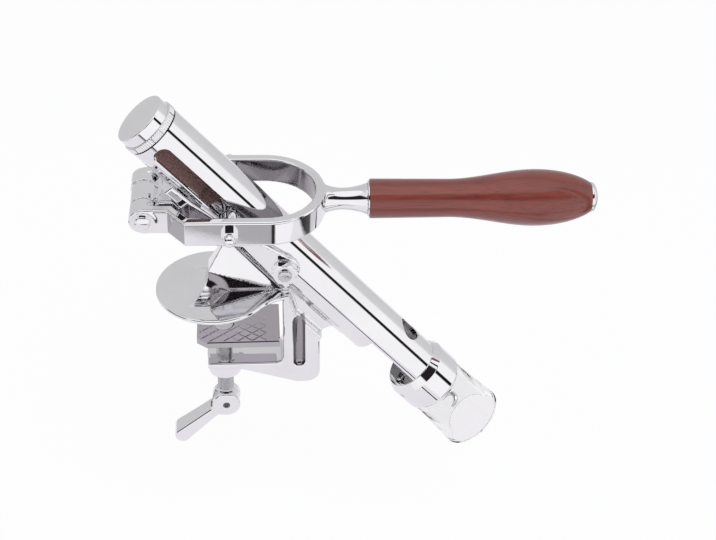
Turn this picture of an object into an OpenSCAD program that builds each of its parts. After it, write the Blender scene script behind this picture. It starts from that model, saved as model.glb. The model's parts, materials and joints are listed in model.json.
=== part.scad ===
// Counter mount corkscrew: a sloping barrel on a counter clamp, worked by a
// ring-shaped lever with a wooden grip. Millimetres, +Z up. The origin is on
// the clamp screw's axis, on the underside of the upper jaw. +X runs towards
// the bottle end, and the plane Y = 0 is the plane of symmetry.
// Stations along the barrel are measured from the face of the end cap.

/* [Barrel] */
// Outside diameter of the barrel tube
tube_od = 34; // [33:0.5:36]
// Wall of the barrel tube
tube_wall = 3; // [2.5:0.25:3.5]
// Slope of the barrel below the horizontal, in degrees
barrel_tilt = 49.42; // [48:0.02:51]
// Distance of the cap face behind the clamp screw
cap_back = 41.9; // [40:0.1:44]
// Height of the barrel's axis over the counter, above the mouth's rear wall
axis_rise = 30.8; // [30:0.1:34]
// How far the end cap's side lies inside the tube's
cap_inset = 0.9; // [0.5:0.1:2]
// Height of the end cap above the knurl
cap_h = 6.5; // [4:0.5:8]
// Width of the knurled ring
knurl_h = 4.3; // [3:0.1:6]
// How far the knurls stand out of the tube
knurl_proud = 0.3; // [0.2:0.1:0.8]
// Number of knurls
knurl_count = 72; // [48:4:96]
// Length of the cap's spigot inside the tube
spigot_len = 4; // [2:0.5:4]
// Width of the two side slots
slot_w = 10; // [9.6:0.1:11]
// Station of the slots' upper end
slot_start = 15.5; // [15.5:0.5:20]
// Diameter of the inspection window in the top
window_d = 15; // [12:0.5:17]
// Station of the inspection window
window_at = 219; // [214:1:226]
// Station where the open underside starts
cut_start = 134; // [132:1:150]
// Station of the tube's lower end
tube_end = 251; // [248:0.5:252]

/* [Collar and bell] */
// Wall of the collar round the tube
collar_wall = 3; // [2:0.25:4]
// Station of the collar's upper face
collar_start = 241; // [236:0.5:243]
// Length of the collar
collar_len = 21; // [19:0.5:25]
// Height of the collar's round shoulder
collar_shoulder = 5; // [2:0.5:6]
// Diameter of the set screw
set_screw_d = 3.5; // [3:0.5:4]
// Length of the bell beyond the collar
bell_len = 40; // [36:0.5:44]
// How far the bell stands out of the tube's line at the collar
bell_proud = 1.5; // [0.5:0.25:2]
// How much wider the bell is at its rim
bell_spread = 4.2; // [3:0.2:6]
// Wall of the bell at the collar
bell_wall = 3; // [2.5:0.25:3.5]
// Depth of that bore from the rim
bell_bore_len = 36; // [30:0.5:37]
// Flare of the bell's mouth, on the radius
bell_flare = 1.6; // [0.5:0.1:2]
// Length of that flare
bell_flare_len = 8; // [4:0.5:12]

/* [Linkage] */
// Station of the link's pivot on the barrel
link_pin_at = 121.3; // [120:0.1:124]
// Station of the carriage pin, handle down
fork_pin_at = 74.2; // [73:0.1:76]
// Distance between the lever's two pivots
arm_reach = 48.8; // [48:0.1:50]
// Slope of the lever below the horizontal, in degrees
lever_drop = 1.1; // [0:0.1:3]
// Travel of the carriage when the handle is raised
stroke = 44; // [36:1:44]
// Radius of the knuckle of the link
knuckle_r = 7.6; // [7:0.1:8]
// Width of the knuckle of the link
knuckle_w = 17.4; // [14:0.2:18]
// Thickness of each link cheek
cheek_t = 3; // [2.5:0.25:3.5]
// Radius of each cheek's round end
cheek_end_r = 9; // [8:0.25:9.5]
// Gap between a link cheek and the tube
cheek_gap = 1; // [0.8:0.1:1.4]
// Radius of the stud at each cheek
stud_r = 4; // [3:0.25:4]
// Width across flats of the nut on each stud
stud_nut_af = 13; // [12:0.5:14]
// Thickness of the nut on each stud
stud_nut_h = 4.6; // [4:0.2:5]
// Thickness of the washer under each stud nut
stud_washer_t = 0.8; // [0.6:0.1:1.2]

/* [Lever] */
// Height of the lever ring
ring_h = 16; // [14:0.5:17]
// Wall of the lever ring
ring_wall = 5.6; // [4.5:0.1:6]
// Outer radius of the ring's round end
ring_r = 34.3; // [34:0.1:36]
// Distance of the ring's centre from the hinge
ring_centre = 69.3; // [68:0.1:72]
// Width over the two eyes of the lever
eye_w = 44; // [42:0.5:46]
// Radius of the eyes
eye_r = 7.9; // [7.7:0.1:8.5]
// Diameter of the hinge pin
hinge_pin_d = 7; // [6:0.25:8]
// Diameter of the hinge pin's domed heads
hinge_head_d = 9; // [8.5:0.25:10]
// Diameter of the carriage pin bolts
fork_bolt_d = 5; // [4:0.25:6]
// Diameter of the bosses inside the ring
fork_boss_d = 9; // [8:0.25:9.2]
// Width across flats of the acorn nuts
acorn_af = 8.2; // [8:0.1:10]
// Thickness of the acorn nuts' hexagon
acorn_h = 4.6; // [3:0.2:5]
// Diameter of the acorn nuts' dome
acorn_dome_d = 7.4; // [6:0.2:7.8]

/* [Handle] */
// Radius of the neck where it leaves the ring
neck_root_r = 8.2; // [7:0.1:8.4]
// Radius of the neck's waist
neck_waist_r = 6.4; // [5.5:0.1:7]
// Radius of the neck at the grip
neck_end_r = 9.4; // [8.6:0.1:10]
// Length of the neck
neck_len = 24.3; // [20:0.5:28]
// Radius of the bright ring at the end of the neck
ferrule_r = 10.4; // [10:0.1:11]
// Thickness of that ring
ferrule_t = 1; // [0.8:0.1:2]
// Length of the wooden grip
grip_len = 128.5; // [120:0.5:135]
// Radius of the grip at the neck
grip_butt_r = 11.5; // [11:0.1:12]
// Radius of the grip's straight part
grip_r = 11.1; // [10:0.1:12]
// Radius of the grip's bulb
bulb_r = 16.45; // [14:0.05:18]
// Share of the grip's length where the bulb starts
bulb_from_share = 0.358; // [0.3:0.01:0.45]
// Share of the grip's length where the bulb is widest
bulb_at_share = 0.745; // [0.7:0.005:0.78]
// Length of the bulb's round end in full, as a share of the grip's length
bulb_fade_share = 0.3; // [0.298:0.001:0.33]
// Diameter of the rod through the grip
rod_d = 8; // [6:0.5:9]
// Radius of the domed nut at the grip's end
end_nut_r = 8.7; // [8:0.1:9]
// Height of that dome
end_nut_h = 4.1; // [3.5:0.1:5]

/* [Carriage and worm] */
// Length of the carriage
carriage_len = 26; // [22:1:28]
// Length of the carriage above the pin
carriage_above = 11; // [10:0.5:13]
// Diameter of the stem on the carriage
stem_d = 8; // [7:0.5:10]
// Diameter of the screw spindle
spindle_d = 10; // [9:0.5:11]
// Station of the spindle's lower end
spindle_end = 224; // [220:1:228]
// Diameter of the collar on the spindle
spindle_flange_d = 17; // [14:0.5:20]
// Thickness of the collar on the spindle
spindle_flange_t = 3; // [2:0.5:4]
// Thickness of the thrust washer
thrust_washer_t = 1.5; // [1:0.25:2]
// Length of the fixed drive nut
drive_nut_len = 16; // [10:1:17]
// Diameter of the worm's wire
worm_wire_d = 3; // [2.6:0.1:3.2]
// Outside diameter of the worm
worm_od = 8.6; // [8.2:0.1:9]
// Pitch of the worm
worm_pitch = 10.4; // [9:0.1:11]
// Station of the worm's point
worm_end = 288; // [284:0.5:290]
// Diameter of the worm's straight shank
worm_shank_d = 5; // [4:0.5:6]
// Length of the shank inside the spindle
worm_shank_len = 8; // [6:0.5:10]

/* [Clamp frame] */
// Radius of the upper jaw's disc
jaw_r = 34.7; // [32:0.1:36]
// Distance of the disc's centre behind the screw
jaw_back = 4.5; // [3:0.1:6]
// Thickness of the upper jaw
jaw_t = 3; // [2.6:0.1:4]
// Distance from the screw axis to the clamp's back
throat = 35.7; // [35:0.1:38]
// Clear height between the jaws
mouth_h = 48.6; // [47:0.2:50]
// Depth of the clamp's back, front to rear
back_t = 22.1; // [20:0.1:23]
// Width of the clamp's back and lower jaw
back_w = 24; // [22:0.5:26]
// Thickness of the lower jaw at the back
lower_jaw_t = 16; // [14:0.5:18]
// Thickness of the lower jaw at its front end
lower_tip_t = 5; // [4:0.5:7]
// Radius of the corners inside the mouth
mouth_corner_r = 5; // [3:0.5:6]
// Width of the groove in the clamp's back
groove_w = 6.2; // [5:0.1:8]
// Depth of that groove
groove_depth = 2.5; // [1.5:0.25:3.5]
// Thickness of the web between the jaw and the barrel
web_w = 12; // [10:0.5:14]
// Station of the web's upper end under the barrel
web_start = 82; // [80:1:86]
// Station of the trough's lower end
trough_end = 203; // [198:0.5:206]
// How far the trough's hollow lies inside the barrel's bore
trough_step = 1.5; // [1:0.1:2]
// Wall of that trough
trough_wall = 2.3; // [2:0.1:2.6]
// Radius of the screw boss
boss_r = 10; // [9:0.5:11]
// Height of the screw boss
boss_h = 13.6; // [12:0.2:16]

/* [Clamp screw] */
// Diameter of the clamp screw
screw_d = 10; // [9.5:0.5:10.5]
// Gap between the jaws in the modelled pose
clamp_gap = 26.6; // [24:0.2:29]
// Reach of the pad in front of the screw
pad_front = 15.9; // [14:0.1:17]
// Reach of the pad behind the screw
pad_rear = 33.7; // [32:0.1:34]
// Width of the pad
pad_w = 36; // [34:0.5:38]
// Thickness of the pad
pad_t = 4.5; // [4:0.25:5]
// Corner bevel of the pad
pad_bevel = 6; // [4:0.5:7]
// Diameter of the retainer sunk in the pad
retainer_d = 11.4; // [10:0.2:12]
// Depth of the retainer's recess
retainer_t = 1.6; // [1.2:0.1:2]
// Diameter of the screw's journal in the pad
journal_d = 6; // [5:0.5:7]
// Distance from the upper jaw's underside to the cross pin
cross_pin_drop = 86.6; // [85:0.2:92]
// Diameter of the cross pin
cross_pin_d = 4; // [3:0.25:4.5]
// Thickness of the flat at the screw's lower end
tang_w = 6; // [5:0.25:7]
// Width of the fork of the folding lever
fork_w = 14; // [12:0.5:15]
// Radius of that fork
fork_r = 8.6; // [8:0.1:9]
// Length of the folding lever from the pin
key_len = 41.5; // [38:0.5:46]
// Slope of the folding lever below the horizontal, in degrees
key_drop = 42; // [38:1:46]
// Thickness of the folding lever
key_t = 6; // [5:0.5:7]
// Width of the folding lever
key_w = 12; // [10:0.5:13]
// Radius of the folding lever's tip
key_tip_r = 4.2; // [3.5:0.1:5]

/* [Fits] */
// Running clearance of turning and sliding fits, on the radius
run_gap = 0.05; // [0.02:0.01:0.1]
// Free clearance between pieces that never touch
free_gap = 0.4; // [0.3:0.05:0.6]

/* [Hidden] */
$fn = 96;

chrome = [0.83, 0.84, 0.86];
bright_steel = [0.74, 0.75, 0.77];
dark_bronze = [0.42, 0.32, 0.24];
mahogany = [0.45, 0.17, 0.10];
clear_plastic = [0.86, 0.90, 0.92, 0.4];

eps = 0.01;             // overlap that joins solids of one piece
through = 1;            // how far a cut runs past a face
tube_r = tube_od / 2;
bore_r = tube_r - tube_wall;
knurl_end = cap_h + knurl_h;
cap_d = tube_od - 2 * cap_inset;
knurl_d = tube_od + 2 * knurl_proud;
collar_d = tube_od + 2 * collar_wall;
bell_top_d = tube_od + 2 * bell_proud;
bell_rim_d = bell_top_d + bell_spread;
bell_bore_d = bell_top_d - 2 * bell_wall;
trough_r = bore_r - trough_step + trough_wall;
cap_rise = axis_rise + (throat + cap_back) * tan(barrel_tilt);     // height of the cap's face
cap_roof = 3.2;         // wall left over the hollow of the cap
stem_play = 3;          // room left over the stem when the carriage is fully raised
cap_hollow_r = 9;       // radius of the hollow that takes the raised stem
rim = 0.6;              // small turned chamfer

function along(s, n) = [
    -cap_back + s * cos(barrel_tilt) + n * sin(barrel_tilt),
    0,
    cap_rise - s * sin(barrel_tilt) + n * cos(barrel_tilt)
];
fork_pin = along(fork_pin_at, 0);
link_pin = along(link_pin_at, 0);
hinge = fork_pin + arm_reach * [-cos(lever_drop), 0, sin(lever_drop)];
// The hinge's place in barrel stations: along the barrel, and away from it
hinge_s = (hinge - along(0, 0)) * [cos(barrel_tilt), 0, -sin(barrel_tilt)];
hinge_n = (hinge - along(0, 0)) * [sin(barrel_tilt), 0, cos(barrel_tilt)];
cheek_in = tube_r + cheek_gap;
cheek_out = cheek_in + cheek_t;

// Points of an arc about c, from angle a0 to a1, in the plane of an outline
function arc(c, r, a0, a1, steps = 16) =
    [for (i = [0:steps]) c + r * [cos(a0 + (a1 - a0) * i / steps), sin(a0 + (a1 - a0) * i / steps)]];
function smooth(t) = t <= 0 ? 0 : t >= 1 ? 1 : t * t * (3 - 2 * t);
function flip(points) = [for (i = [len(points) - 1:-1:0]) [points[i][0], -points[i][1]]];
function plan(v) = [v[0], v[2]];

// Places children on the barrel axis: local Z runs down the barrel, local -X up
module on_barrel(s = 0) {
    translate([-cap_back, 0, cap_rise])
        rotate([0, 90 + barrel_tilt, 0])
            translate([0, 0, s]) children();
}

// Extrudes an outline of (station, height over the axis) between two Y planes
module barrel_side(y0, y1) {
    translate([-cap_back, 0, cap_rise])
        rotate([90, barrel_tilt, 0])
            translate([0, 0, -y1]) linear_extrude(y1 - y0) children();
}

// Extrudes an outline in X and Z between two Y planes
module upright(y0, y1) {
    rotate([90, 0, 0]) translate([0, 0, -y1]) linear_extrude(y1 - y0) children();
}

// A cylinder along Y between two Y planes
module crossbar(r, y0, y1) {
    translate([0, y1, 0]) rotate([90, 0, 0]) cylinder(r = r, h = y1 - y0);
}

// Repeats children on both sides of the plane of symmetry
module both_sides() {
    children();
    mirror([0, 1, 0]) children();
}

// A slot across the barrel wall with round ends, between two stations
module side_slot(from, to, width) {
    for (s = [from + width / 2, to - width / 2])
        translate([0, 0, s]) crossbar(width / 2, 0, tube_od);
    translate([-width / 2, 0, from + width / 2]) cube([width, tube_od, to - from - width]);
}

// ---------------------------------------------------------------- barrel

module end_cap() {
    color(chrome) on_barrel() difference() {
        union() {
            cylinder(r1 = cap_d / 2 - rim, r2 = cap_d / 2, h = rim);
            translate([0, 0, rim]) cylinder(d = cap_d, h = cap_h - rim);
            translate([0, 0, cap_h - eps]) cylinder(r = bore_r, h = knurl_h + spigot_len + eps);
        }
        translate([0, 0, cap_roof]) cylinder(r = cap_hollow_r, h = cap_h + knurl_h + spigot_len);
    }
}

module knurled_ring() {
    tooth = 0.45;   // depth of one knurl
    outline = [for (i = [0:2 * knurl_count - 1])
        (knurl_d / 2 - tooth * (i % 2)) * [cos(180 * i / knurl_count), sin(180 * i / knurl_count)]];
    color(chrome) on_barrel(cap_h) difference() {
        linear_extrude(knurl_h) polygon(outline);
        translate([0, 0, -through]) cylinder(r = bore_r, h = knurl_h + 2 * through);
    }
}

slot_end = fork_pin_at + slot_w / 2 + 0.5;   // half a millimetre past the carriage block

module barrel() {
    color(chrome) on_barrel() difference() {
        translate([0, 0, knurl_end]) cylinder(r = tube_r, h = tube_end - knurl_end);
        translate([0, 0, knurl_end - through]) cylinder(r = bore_r, h = tube_end);
        both_sides() side_slot(slot_start, slot_end, slot_w);
        translate([0, 0, window_at]) rotate([0, -90, 0]) cylinder(d = window_d, h = tube_od);
        translate([0, -tube_od, cut_start]) cube([tube_od, 2 * tube_od, tube_end]);
        translate([0, 0, link_pin_at]) crossbar(stud_r, -tube_od, tube_od);
    }
}

// ---------------------------------------------------------------- collar and bell

collar_end = collar_start + collar_len;
set_screw_turn = 45;    // turn of the set screw round the barrel from its underside
set_screw_at = collar_start + collar_shoulder + set_screw_d / 2 + 0.3;

// The cut of the set screw, pointing out of the barrel's near lower side
module set_screw_hole(reach) {
    rotate([0, 0, -set_screw_turn]) rotate([0, 90, 0])
        cylinder(d = set_screw_d, h = reach + through);
}

module collar() {
    shoulder_in = tube_r + 0.4;     // the shoulder starts just outside the tube
    color(chrome) on_barrel(collar_start) difference() {
        rotate_extrude() polygon(concat(
            [[tube_r, 0]],
            [for (a = [0:10:90]) [shoulder_in + (collar_d / 2 - shoulder_in) * sin(a),
                collar_shoulder * (1 - cos(a))]],
            arc([collar_d / 2 - rim, collar_len - rim], rim, 0, 90, 4),
            [[tube_r, collar_len]]
        ));
        translate([0, 0, set_screw_at - collar_start]) set_screw_hole(collar_d);
    }
}

module collar_screw() {
    socket_d = set_screw_d / 2;     // width of the hexagon socket
    head_out = collar_d / 2 - 1.2;  // the screw stops below the collar's face
    color(bright_steel) on_barrel(set_screw_at)
        rotate([0, 0, -set_screw_turn]) rotate([0, 90, 0]) difference() {
            translate([0, 0, tube_r + free_gap])
                cylinder(d = set_screw_d, h = head_out - tube_r - free_gap);
            translate([0, 0, head_out - 1]) cylinder(d = socket_d, h = 2, $fn = 6);
        }
}

bell_root_at = tube_end + free_gap;
bell_end = collar_end + bell_len;

module bell() {
    bore = bell_bore_d / 2;
    color(clear_plastic) on_barrel() rotate_extrude() polygon(concat(
        [[bore_r, bell_root_at], [tube_r, bell_root_at], [tube_r, collar_end]],
        [[bell_top_d / 2, collar_end]],
        [[bell_top_d / 2 + (bell_rim_d - bell_top_d) * 0.1, collar_end + bell_len * 0.3]],
        arc([bell_rim_d / 2 - rim, bell_end - rim], rim, 0, 90, 4),
        [[bore + bell_flare, bell_end]],
        [[bore, bell_end - bell_flare_len]],
        [[bore, bell_end - bell_bore_len]],
        [[bore_r, bell_end - bell_bore_len]]
    ));
}

// The worm passes through the bush that sits in the bell's root
module guide_bush() {
    color(dark_bronze) on_barrel(bell_root_at) difference() {
        cylinder(r = bore_r, h = collar_end - bell_root_at);
        translate([0, 0, -through])
            cylinder(d = worm_od + 2 * free_gap, h = collar_len + 2 * through);
    }
}

drive_nut_at = link_pin_at - stud_r - free_gap - drive_nut_len;

module drive_nut() {
    color(dark_bronze) on_barrel(drive_nut_at) difference() {
        cylinder(r = bore_r, h = drive_nut_len);
        translate([0, 0, -through])
            cylinder(r = spindle_d / 2 + run_gap, h = drive_nut_len + 2 * through);
    }
}

// ---------------------------------------------------------------- link pivots

stud_washer_in = cheek_out + run_gap;
stud_nut_in = stud_washer_in + stud_washer_t;
stud_nut_out = stud_nut_in + stud_nut_h;

module pivot_studs() {
    dome = 2;       // how far the stud stands out of its nut
    color(bright_steel) translate(link_pin) both_sides()
        crossbar(stud_r, bore_r + 0.2, stud_nut_out + dome);
}

module pivot_washers() {
    color(chrome) translate(link_pin) both_sides() difference() {
        crossbar(stud_nut_af / 2 + 0.8, stud_washer_in, stud_nut_in);
        crossbar(stud_r, 0, stud_nut_out);
    }
}

module pivot_nuts() {
    color(chrome) translate(link_pin) both_sides() difference() {
        translate([0, stud_nut_out, 0]) rotate([90, 30, 0])
            cylinder(d = stud_nut_af / cos(30), h = stud_nut_h, $fn = 6);
        crossbar(stud_r, 0, stud_nut_out + through);
    }
}

// ---------------------------------------------------------------- link

sweep_r = eye_w / 2 + free_gap;     // the lever's eyes and arms turn inside this
fork_clear = fork_boss_d / 2 + free_gap * 3;

// Outline of one cheek: a round end at the barrel's pivot, a dip for the
// carriage pin's boss, and a deep rear end above the hinge
module cheek_outline() {
    rear = hinge_s - 5.8;           // station of the rear edge
    under = hinge_n + 11;           // height of the lower rear corner
    difference() {
        polygon(concat(
            [[rear, -tube_r / 2], [rear + 16, -tube_r / 2 + 0.8]],
            [[fork_pin_at - 8, -fork_clear - 0.1]],
            arc([fork_pin_at, 0], fork_clear + 0.4, 270, 325, 8),
            [[link_pin_at - 29, 0.2], [link_pin_at - 21, 3.4]],
            arc([link_pin_at, 0], cheek_end_r, 125, -90, 24),
            [[link_pin_at - 28, -7.4], [fork_pin_at, under - 0.6]],
            [[hinge_s + 19, hinge_n + 3]],
            [[hinge_s + 6, hinge_n + sweep_r - 3], [rear, hinge_n + sweep_r - 3]]
        ));
        translate([hinge_s, hinge_n]) circle(r = sweep_r);
    }
}

// Outline of the bridge that joins the two cheeks below the tube
module bridge_outline(under_tube) {
    difference() {
        polygon([
            [hinge_s - 1, hinge_n + 13], [hinge_s + 3.5, -tube_r - under_tube],
            [hinge_s + 22, -tube_r - under_tube], [hinge_s + 27, hinge_n + 9],
            [hinge_s + 15, hinge_n + 1], [hinge_s + 4, hinge_n]
        ]);
        translate([hinge_s, hinge_n]) circle(r = eye_r + 2 * free_gap);
    }
}

module link() {
    neck_w = knuckle_w / 2;
    inner_w = eye_w / 2 - ring_wall - 2 * free_gap;     // passes between the lever's arms
    bridge_w = (cheek_in + cheek_out) / 2;              // ends inside the cheeks
    color(chrome) difference() {
        union() {
            both_sides() barrel_side(cheek_in, cheek_out) cheek_outline();
            difference() {
                barrel_side(-bridge_w, bridge_w) bridge_outline(2 * free_gap);
                translate(hinge) both_sides()
                    crossbar(sweep_r + free_gap, inner_w, tube_od);
            }
            translate(hinge) crossbar(knuckle_r, -neck_w, neck_w);
            barrel_side(1 - neck_w, neck_w - 1)
                polygon([
                    [hinge_s + 1, hinge_n + 2], [hinge_s + 1, hinge_n + 12],
                    [hinge_s + 12, hinge_n + 12], [hinge_s + 12, hinge_n + 2]
                ]);
        }
        translate(hinge) crossbar(hinge_pin_d / 2, -tube_od, tube_od);
        translate(link_pin) crossbar(stud_r + run_gap, -tube_od, tube_od);
    }
}

module hinge_pin() {
    head_h = 1.4;       // height of a head's straight rim
    dome_h = 1.2;       // height of its crown
    half = eye_w / 2 + run_gap;
    color(chrome) translate(hinge) {
        crossbar(hinge_pin_d / 2, -half, half);
        both_sides() {
            crossbar(hinge_head_d / 2, half, half + head_h);
            translate([0, half + head_h - eps, 0]) rotate([-90, 0, 0])
                cylinder(d1 = hinge_head_d, d2 = hinge_head_d * 0.55, h = dome_h);
        }
    }
}

// ---------------------------------------------------------------- lever

// Places children in the lever's frame: origin at the hinge, local X to the grip
module on_lever(x = 0) {
    translate(hinge) rotate([0, lever_drop, 0]) translate([x, 0, 0]) children();
}

ramp_from = 14.1;       // where the arms start to spread
ramp_to = 23.7;         // where they are fully apart
neck_start = ring_centre + ring_r;
ferrule_at = neck_start + neck_len;
grip_start = ferrule_at + ferrule_t;
grip_end = grip_start + grip_len;

// Plan outline of the lever ring on one side, from the eyes to the round end
function ring_side(half_w, eye_half, shift) = concat(
    [[0, eye_half], [ramp_from + shift, eye_half], [ramp_to + shift, half_w]],
    arc([ring_centre, 0], half_w, 90, 0, 32)
);
function ring_plan(half_w, eye_half, shift) =
    concat(ring_side(half_w, eye_half, shift), flip(ring_side(half_w, eye_half, shift)));

module neck_profile() {
    waist = 0.4 * neck_len;     // the waist lies nearer the ring
    steps = 10;
    polygon(concat(
        [[0, -ring_wall / 2], [neck_root_r, -ring_wall / 2], [neck_root_r, 0]],
        [for (i = [1:steps]) [neck_root_r + (neck_waist_r - neck_root_r) * sin(90 * i / steps),
            waist * i / steps]],
        [for (i = [1:steps]) [neck_waist_r + (neck_end_r - neck_waist_r) * pow(i / steps, 2),
            waist + (neck_len - waist) * i / steps]],
        [[0, neck_len]]
    ));
}

module lever_ring() {
    eye_in = knuckle_w / 2 + 0.3;
    eye_half = eye_w / 2;
    spread = ring_wall * 0.4;   // keeps the wall of the ramps like the rest
    color(chrome) difference() {
        union() {
            on_lever() translate([0, 0, -ring_h / 2]) linear_extrude(ring_h) difference() {
                polygon(ring_plan(ring_r, eye_half, 0));
                polygon(ring_plan(ring_r - ring_wall, eye_half - ring_wall, spread));
                square([2, 2 * (eye_half - ring_wall)], center = true);
            }
            on_lever(neck_start) rotate([0, 90, 0]) rotate_extrude() neck_profile();
            on_lever() both_sides() crossbar(eye_r, eye_in, eye_half);
        }
        on_lever() crossbar(hinge_pin_d / 2 + run_gap, -tube_od, tube_od);
        translate(fork_pin) crossbar(fork_bolt_d / 2, -2 * tube_od, 2 * tube_od);
        on_lever(neck_start - ring_wall - through) rotate([0, 90, 0])
            cylinder(d = rod_d, h = ring_wall + neck_len + 2 * through);
    }
}

acorn_dome_h = 4.4;     // height of the dome over the hexagon
boss_in = tube_r + 0.6; // the bosses stop just outside the tube

module carriage_bolts() {
    bolt_out = ring_r + acorn_h + 1.5;
    color(chrome) translate(fork_pin) both_sides() {
        crossbar(fork_boss_d / 2, boss_in, ring_r - ring_wall);
        crossbar(fork_bolt_d / 2, boss_in, bolt_out);
    }
}

module acorn_nuts() {
    color(chrome) translate(fork_pin) both_sides() difference() {
        union() {
            translate([0, ring_r + acorn_h, 0]) rotate([90, 30, 0])
                cylinder(d = acorn_af / cos(30), h = acorn_h, $fn = 6);
            translate([0, ring_r + acorn_h, 0]) rotate([-90, 0, 0])
                intersection() {
                    translate([0, 0, -eps]) cylinder(d = acorn_dome_d, h = acorn_dome_h);
                    translate([0, 0, acorn_dome_h - acorn_dome_d * 0.6])
                        sphere(r = acorn_dome_d * 0.6);
                }
        }
        crossbar(fork_bolt_d / 2, 0, ring_r + acorn_h + 1.5);
    }
}

module ferrule() {
    color(chrome) on_lever(ferrule_at) rotate([0, 90, 0]) difference() {
        cylinder(r = ferrule_r, h = ferrule_t);
        translate([0, 0, -through]) cylinder(d = rod_d, h = ferrule_t + 2 * through);
    }
}

module handle_rod() {
    color(bright_steel) on_lever(neck_start - ring_wall) rotate([0, 90, 0])
        cylinder(d = rod_d, h = ring_wall + neck_len + ferrule_t + grip_len + 1.5);
}

bulb_from = bulb_from_share * grip_len;
bulb_at = bulb_at_share * grip_len;
bulb_fade = bulb_fade_share * grip_len;

// Radius of the grip at a distance from its start
function grip_radius(x) =
    x < bulb_from ? grip_butt_r + (grip_r - grip_butt_r) * x / bulb_from
    : x < bulb_at ? grip_r + (bulb_r - grip_r) * smooth((x - bulb_from) / (bulb_at - bulb_from))
    : bulb_r * sqrt(1 - pow((x - bulb_at) / bulb_fade, 2));

module handle_grip() {
    steps = 48;
    profile = concat(
        [[0, 0], [grip_butt_r - rim, 0]],
        [for (i = [0:steps]) let (x = rim + (grip_len - rim) * i / steps) [grip_radius(x), x]],
        [[0, grip_len]]
    );
    color(mahogany) on_lever(grip_start) rotate([0, 90, 0]) difference() {
        rotate_extrude() polygon(profile);
        translate([0, 0, -through]) cylinder(d = rod_d, h = grip_len + 2 * through);
    }
}

module handle_nut() {
    flange = 1;     // straight rim of the domed nut
    steps = 8;
    color(chrome) on_lever(grip_end) rotate([0, 90, 0]) difference() {
        rotate_extrude() polygon(concat(
            [[0, 0], [end_nut_r, 0]],
            [for (i = [0:steps]) [end_nut_r * cos(90 * i / steps),
                flange + (end_nut_h - flange) * sin(90 * i / steps)]]
        ));
        translate([0, 0, -through]) cylinder(d = rod_d, h = 1.5 + through);
    }
}

// ---------------------------------------------------------------- carriage

carriage_r = bore_r - free_gap;
carriage_top = fork_pin_at - carriage_above;
carriage_foot = carriage_top + carriage_len;
stem_len = carriage_top - stroke - cap_roof - stem_play;   // reaches the cap at the stroke's end
nut_room_at = carriage_top + 3;     // the room for the spindle's nut
nut_room_h = 7;
nut_room_r = 8.5;

module carriage() {
    block_r = slot_w / 2 - run_gap;
    color(bright_steel) on_barrel() difference() {
        union() {
            translate([0, 0, carriage_top]) cylinder(r = carriage_r, h = carriage_len);
            both_sides() translate([0, 0, fork_pin_at])
                crossbar(block_r, 0, boss_in - free_gap);
        }
        translate([0, 0, carriage_top - through]) cylinder(r = nut_room_r, h = nut_room_h + 3 + through);
        translate([0, 0, carriage_top])
            cylinder(r = spindle_d / 2 + run_gap, h = carriage_len + through);
    }
}

module carriage_stem() {
    color(bright_steel) on_barrel() union() {
        translate([0, 0, carriage_top]) cylinder(r = nut_room_r, h = 3);
        translate([0, 0, carriage_top - stem_len]) cylinder(d = stem_d, h = stem_len + eps);
    }
}

module thrust_washer() {
    color(dark_bronze) on_barrel(carriage_foot) difference() {
        cylinder(d = spindle_flange_d, h = thrust_washer_t);
        translate([0, 0, -through])
            cylinder(r = spindle_d / 2 + run_gap, h = thrust_washer_t + 2 * through);
    }
}

spindle_nut_h = 4;
spindle_nut_at = nut_room_at + nut_room_h - spindle_nut_h - free_gap;
spindle_top = nut_room_at + 1;
flange_at = carriage_foot + thrust_washer_t + run_gap;

module spindle() {
    color(bright_steel) on_barrel() difference() {
        union() {
            translate([0, 0, spindle_top]) cylinder(d = spindle_d, h = spindle_end - spindle_top);
            translate([0, 0, flange_at]) cylinder(d = spindle_flange_d, h = spindle_flange_t);
        }
        translate([0, 0, spindle_end - worm_shank_len])
            cylinder(d = worm_shank_d, h = worm_shank_len + through);
    }
}

module spindle_nut() {
    color(bright_steel) on_barrel(spindle_nut_at) difference() {
        cylinder(r = nut_room_r - free_gap, h = spindle_nut_h, $fn = 6);
        translate([0, 0, -through]) cylinder(d = spindle_d, h = spindle_nut_h + 2 * through);
    }
}

// The worm is one round wire swept along a helix: the wire's centre keeps the
// same radius, and its last half turn thins out to the point
worm_sides = 10;
worm_rings_per_turn = 20;
worm_start = spindle_end;
worm_turns = (worm_end - worm_start) / worm_pitch;
worm_path_r = (worm_od - worm_wire_d) / 2;

function worm_place(turn) = let (
        grow = smooth(turn / 0.5),
        a = 360 * turn
    ) [worm_path_r * grow * cos(a), worm_path_r * grow * sin(a), worm_start + worm_pitch * turn];
function worm_thick(turn) = let (left = worm_turns - turn)
    worm_wire_d / 2 * (left < 0.6 ? 0.12 + 0.88 * left / 0.6 : 1);
function unit(v) = v / norm(v);
function worm_ring(turn) = let (
        here = worm_place(turn),
        run = unit(worm_place(turn + 0.01) - worm_place(turn - 0.01)),
        side = unit(cross([0, 0, 1], run)),
        over = cross(run, side)
    ) [for (k = [0:worm_sides - 1])
        here + worm_thick(turn) * (cos(360 * k / worm_sides) * side + sin(360 * k / worm_sides) * over)];

module worm_wire() {
    rings = ceil(worm_turns * worm_rings_per_turn);
    places = [for (i = [0:rings]) each worm_ring(0.03 + (worm_turns - 0.03) * i / rings)];
    last = rings * worm_sides;
    polyhedron(places, concat(
        [[for (k = [0:worm_sides - 1]) k]],
        [for (i = [0:rings - 1], k = [0:worm_sides - 1]) let (
            a = i * worm_sides + k,
            b = i * worm_sides + (k + 1) % worm_sides
        ) each [[a, a + worm_sides, b], [b, a + worm_sides, b + worm_sides]]],
        [[for (k = [worm_sides - 1:-1:0]) last + k]]
    ));
}

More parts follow.
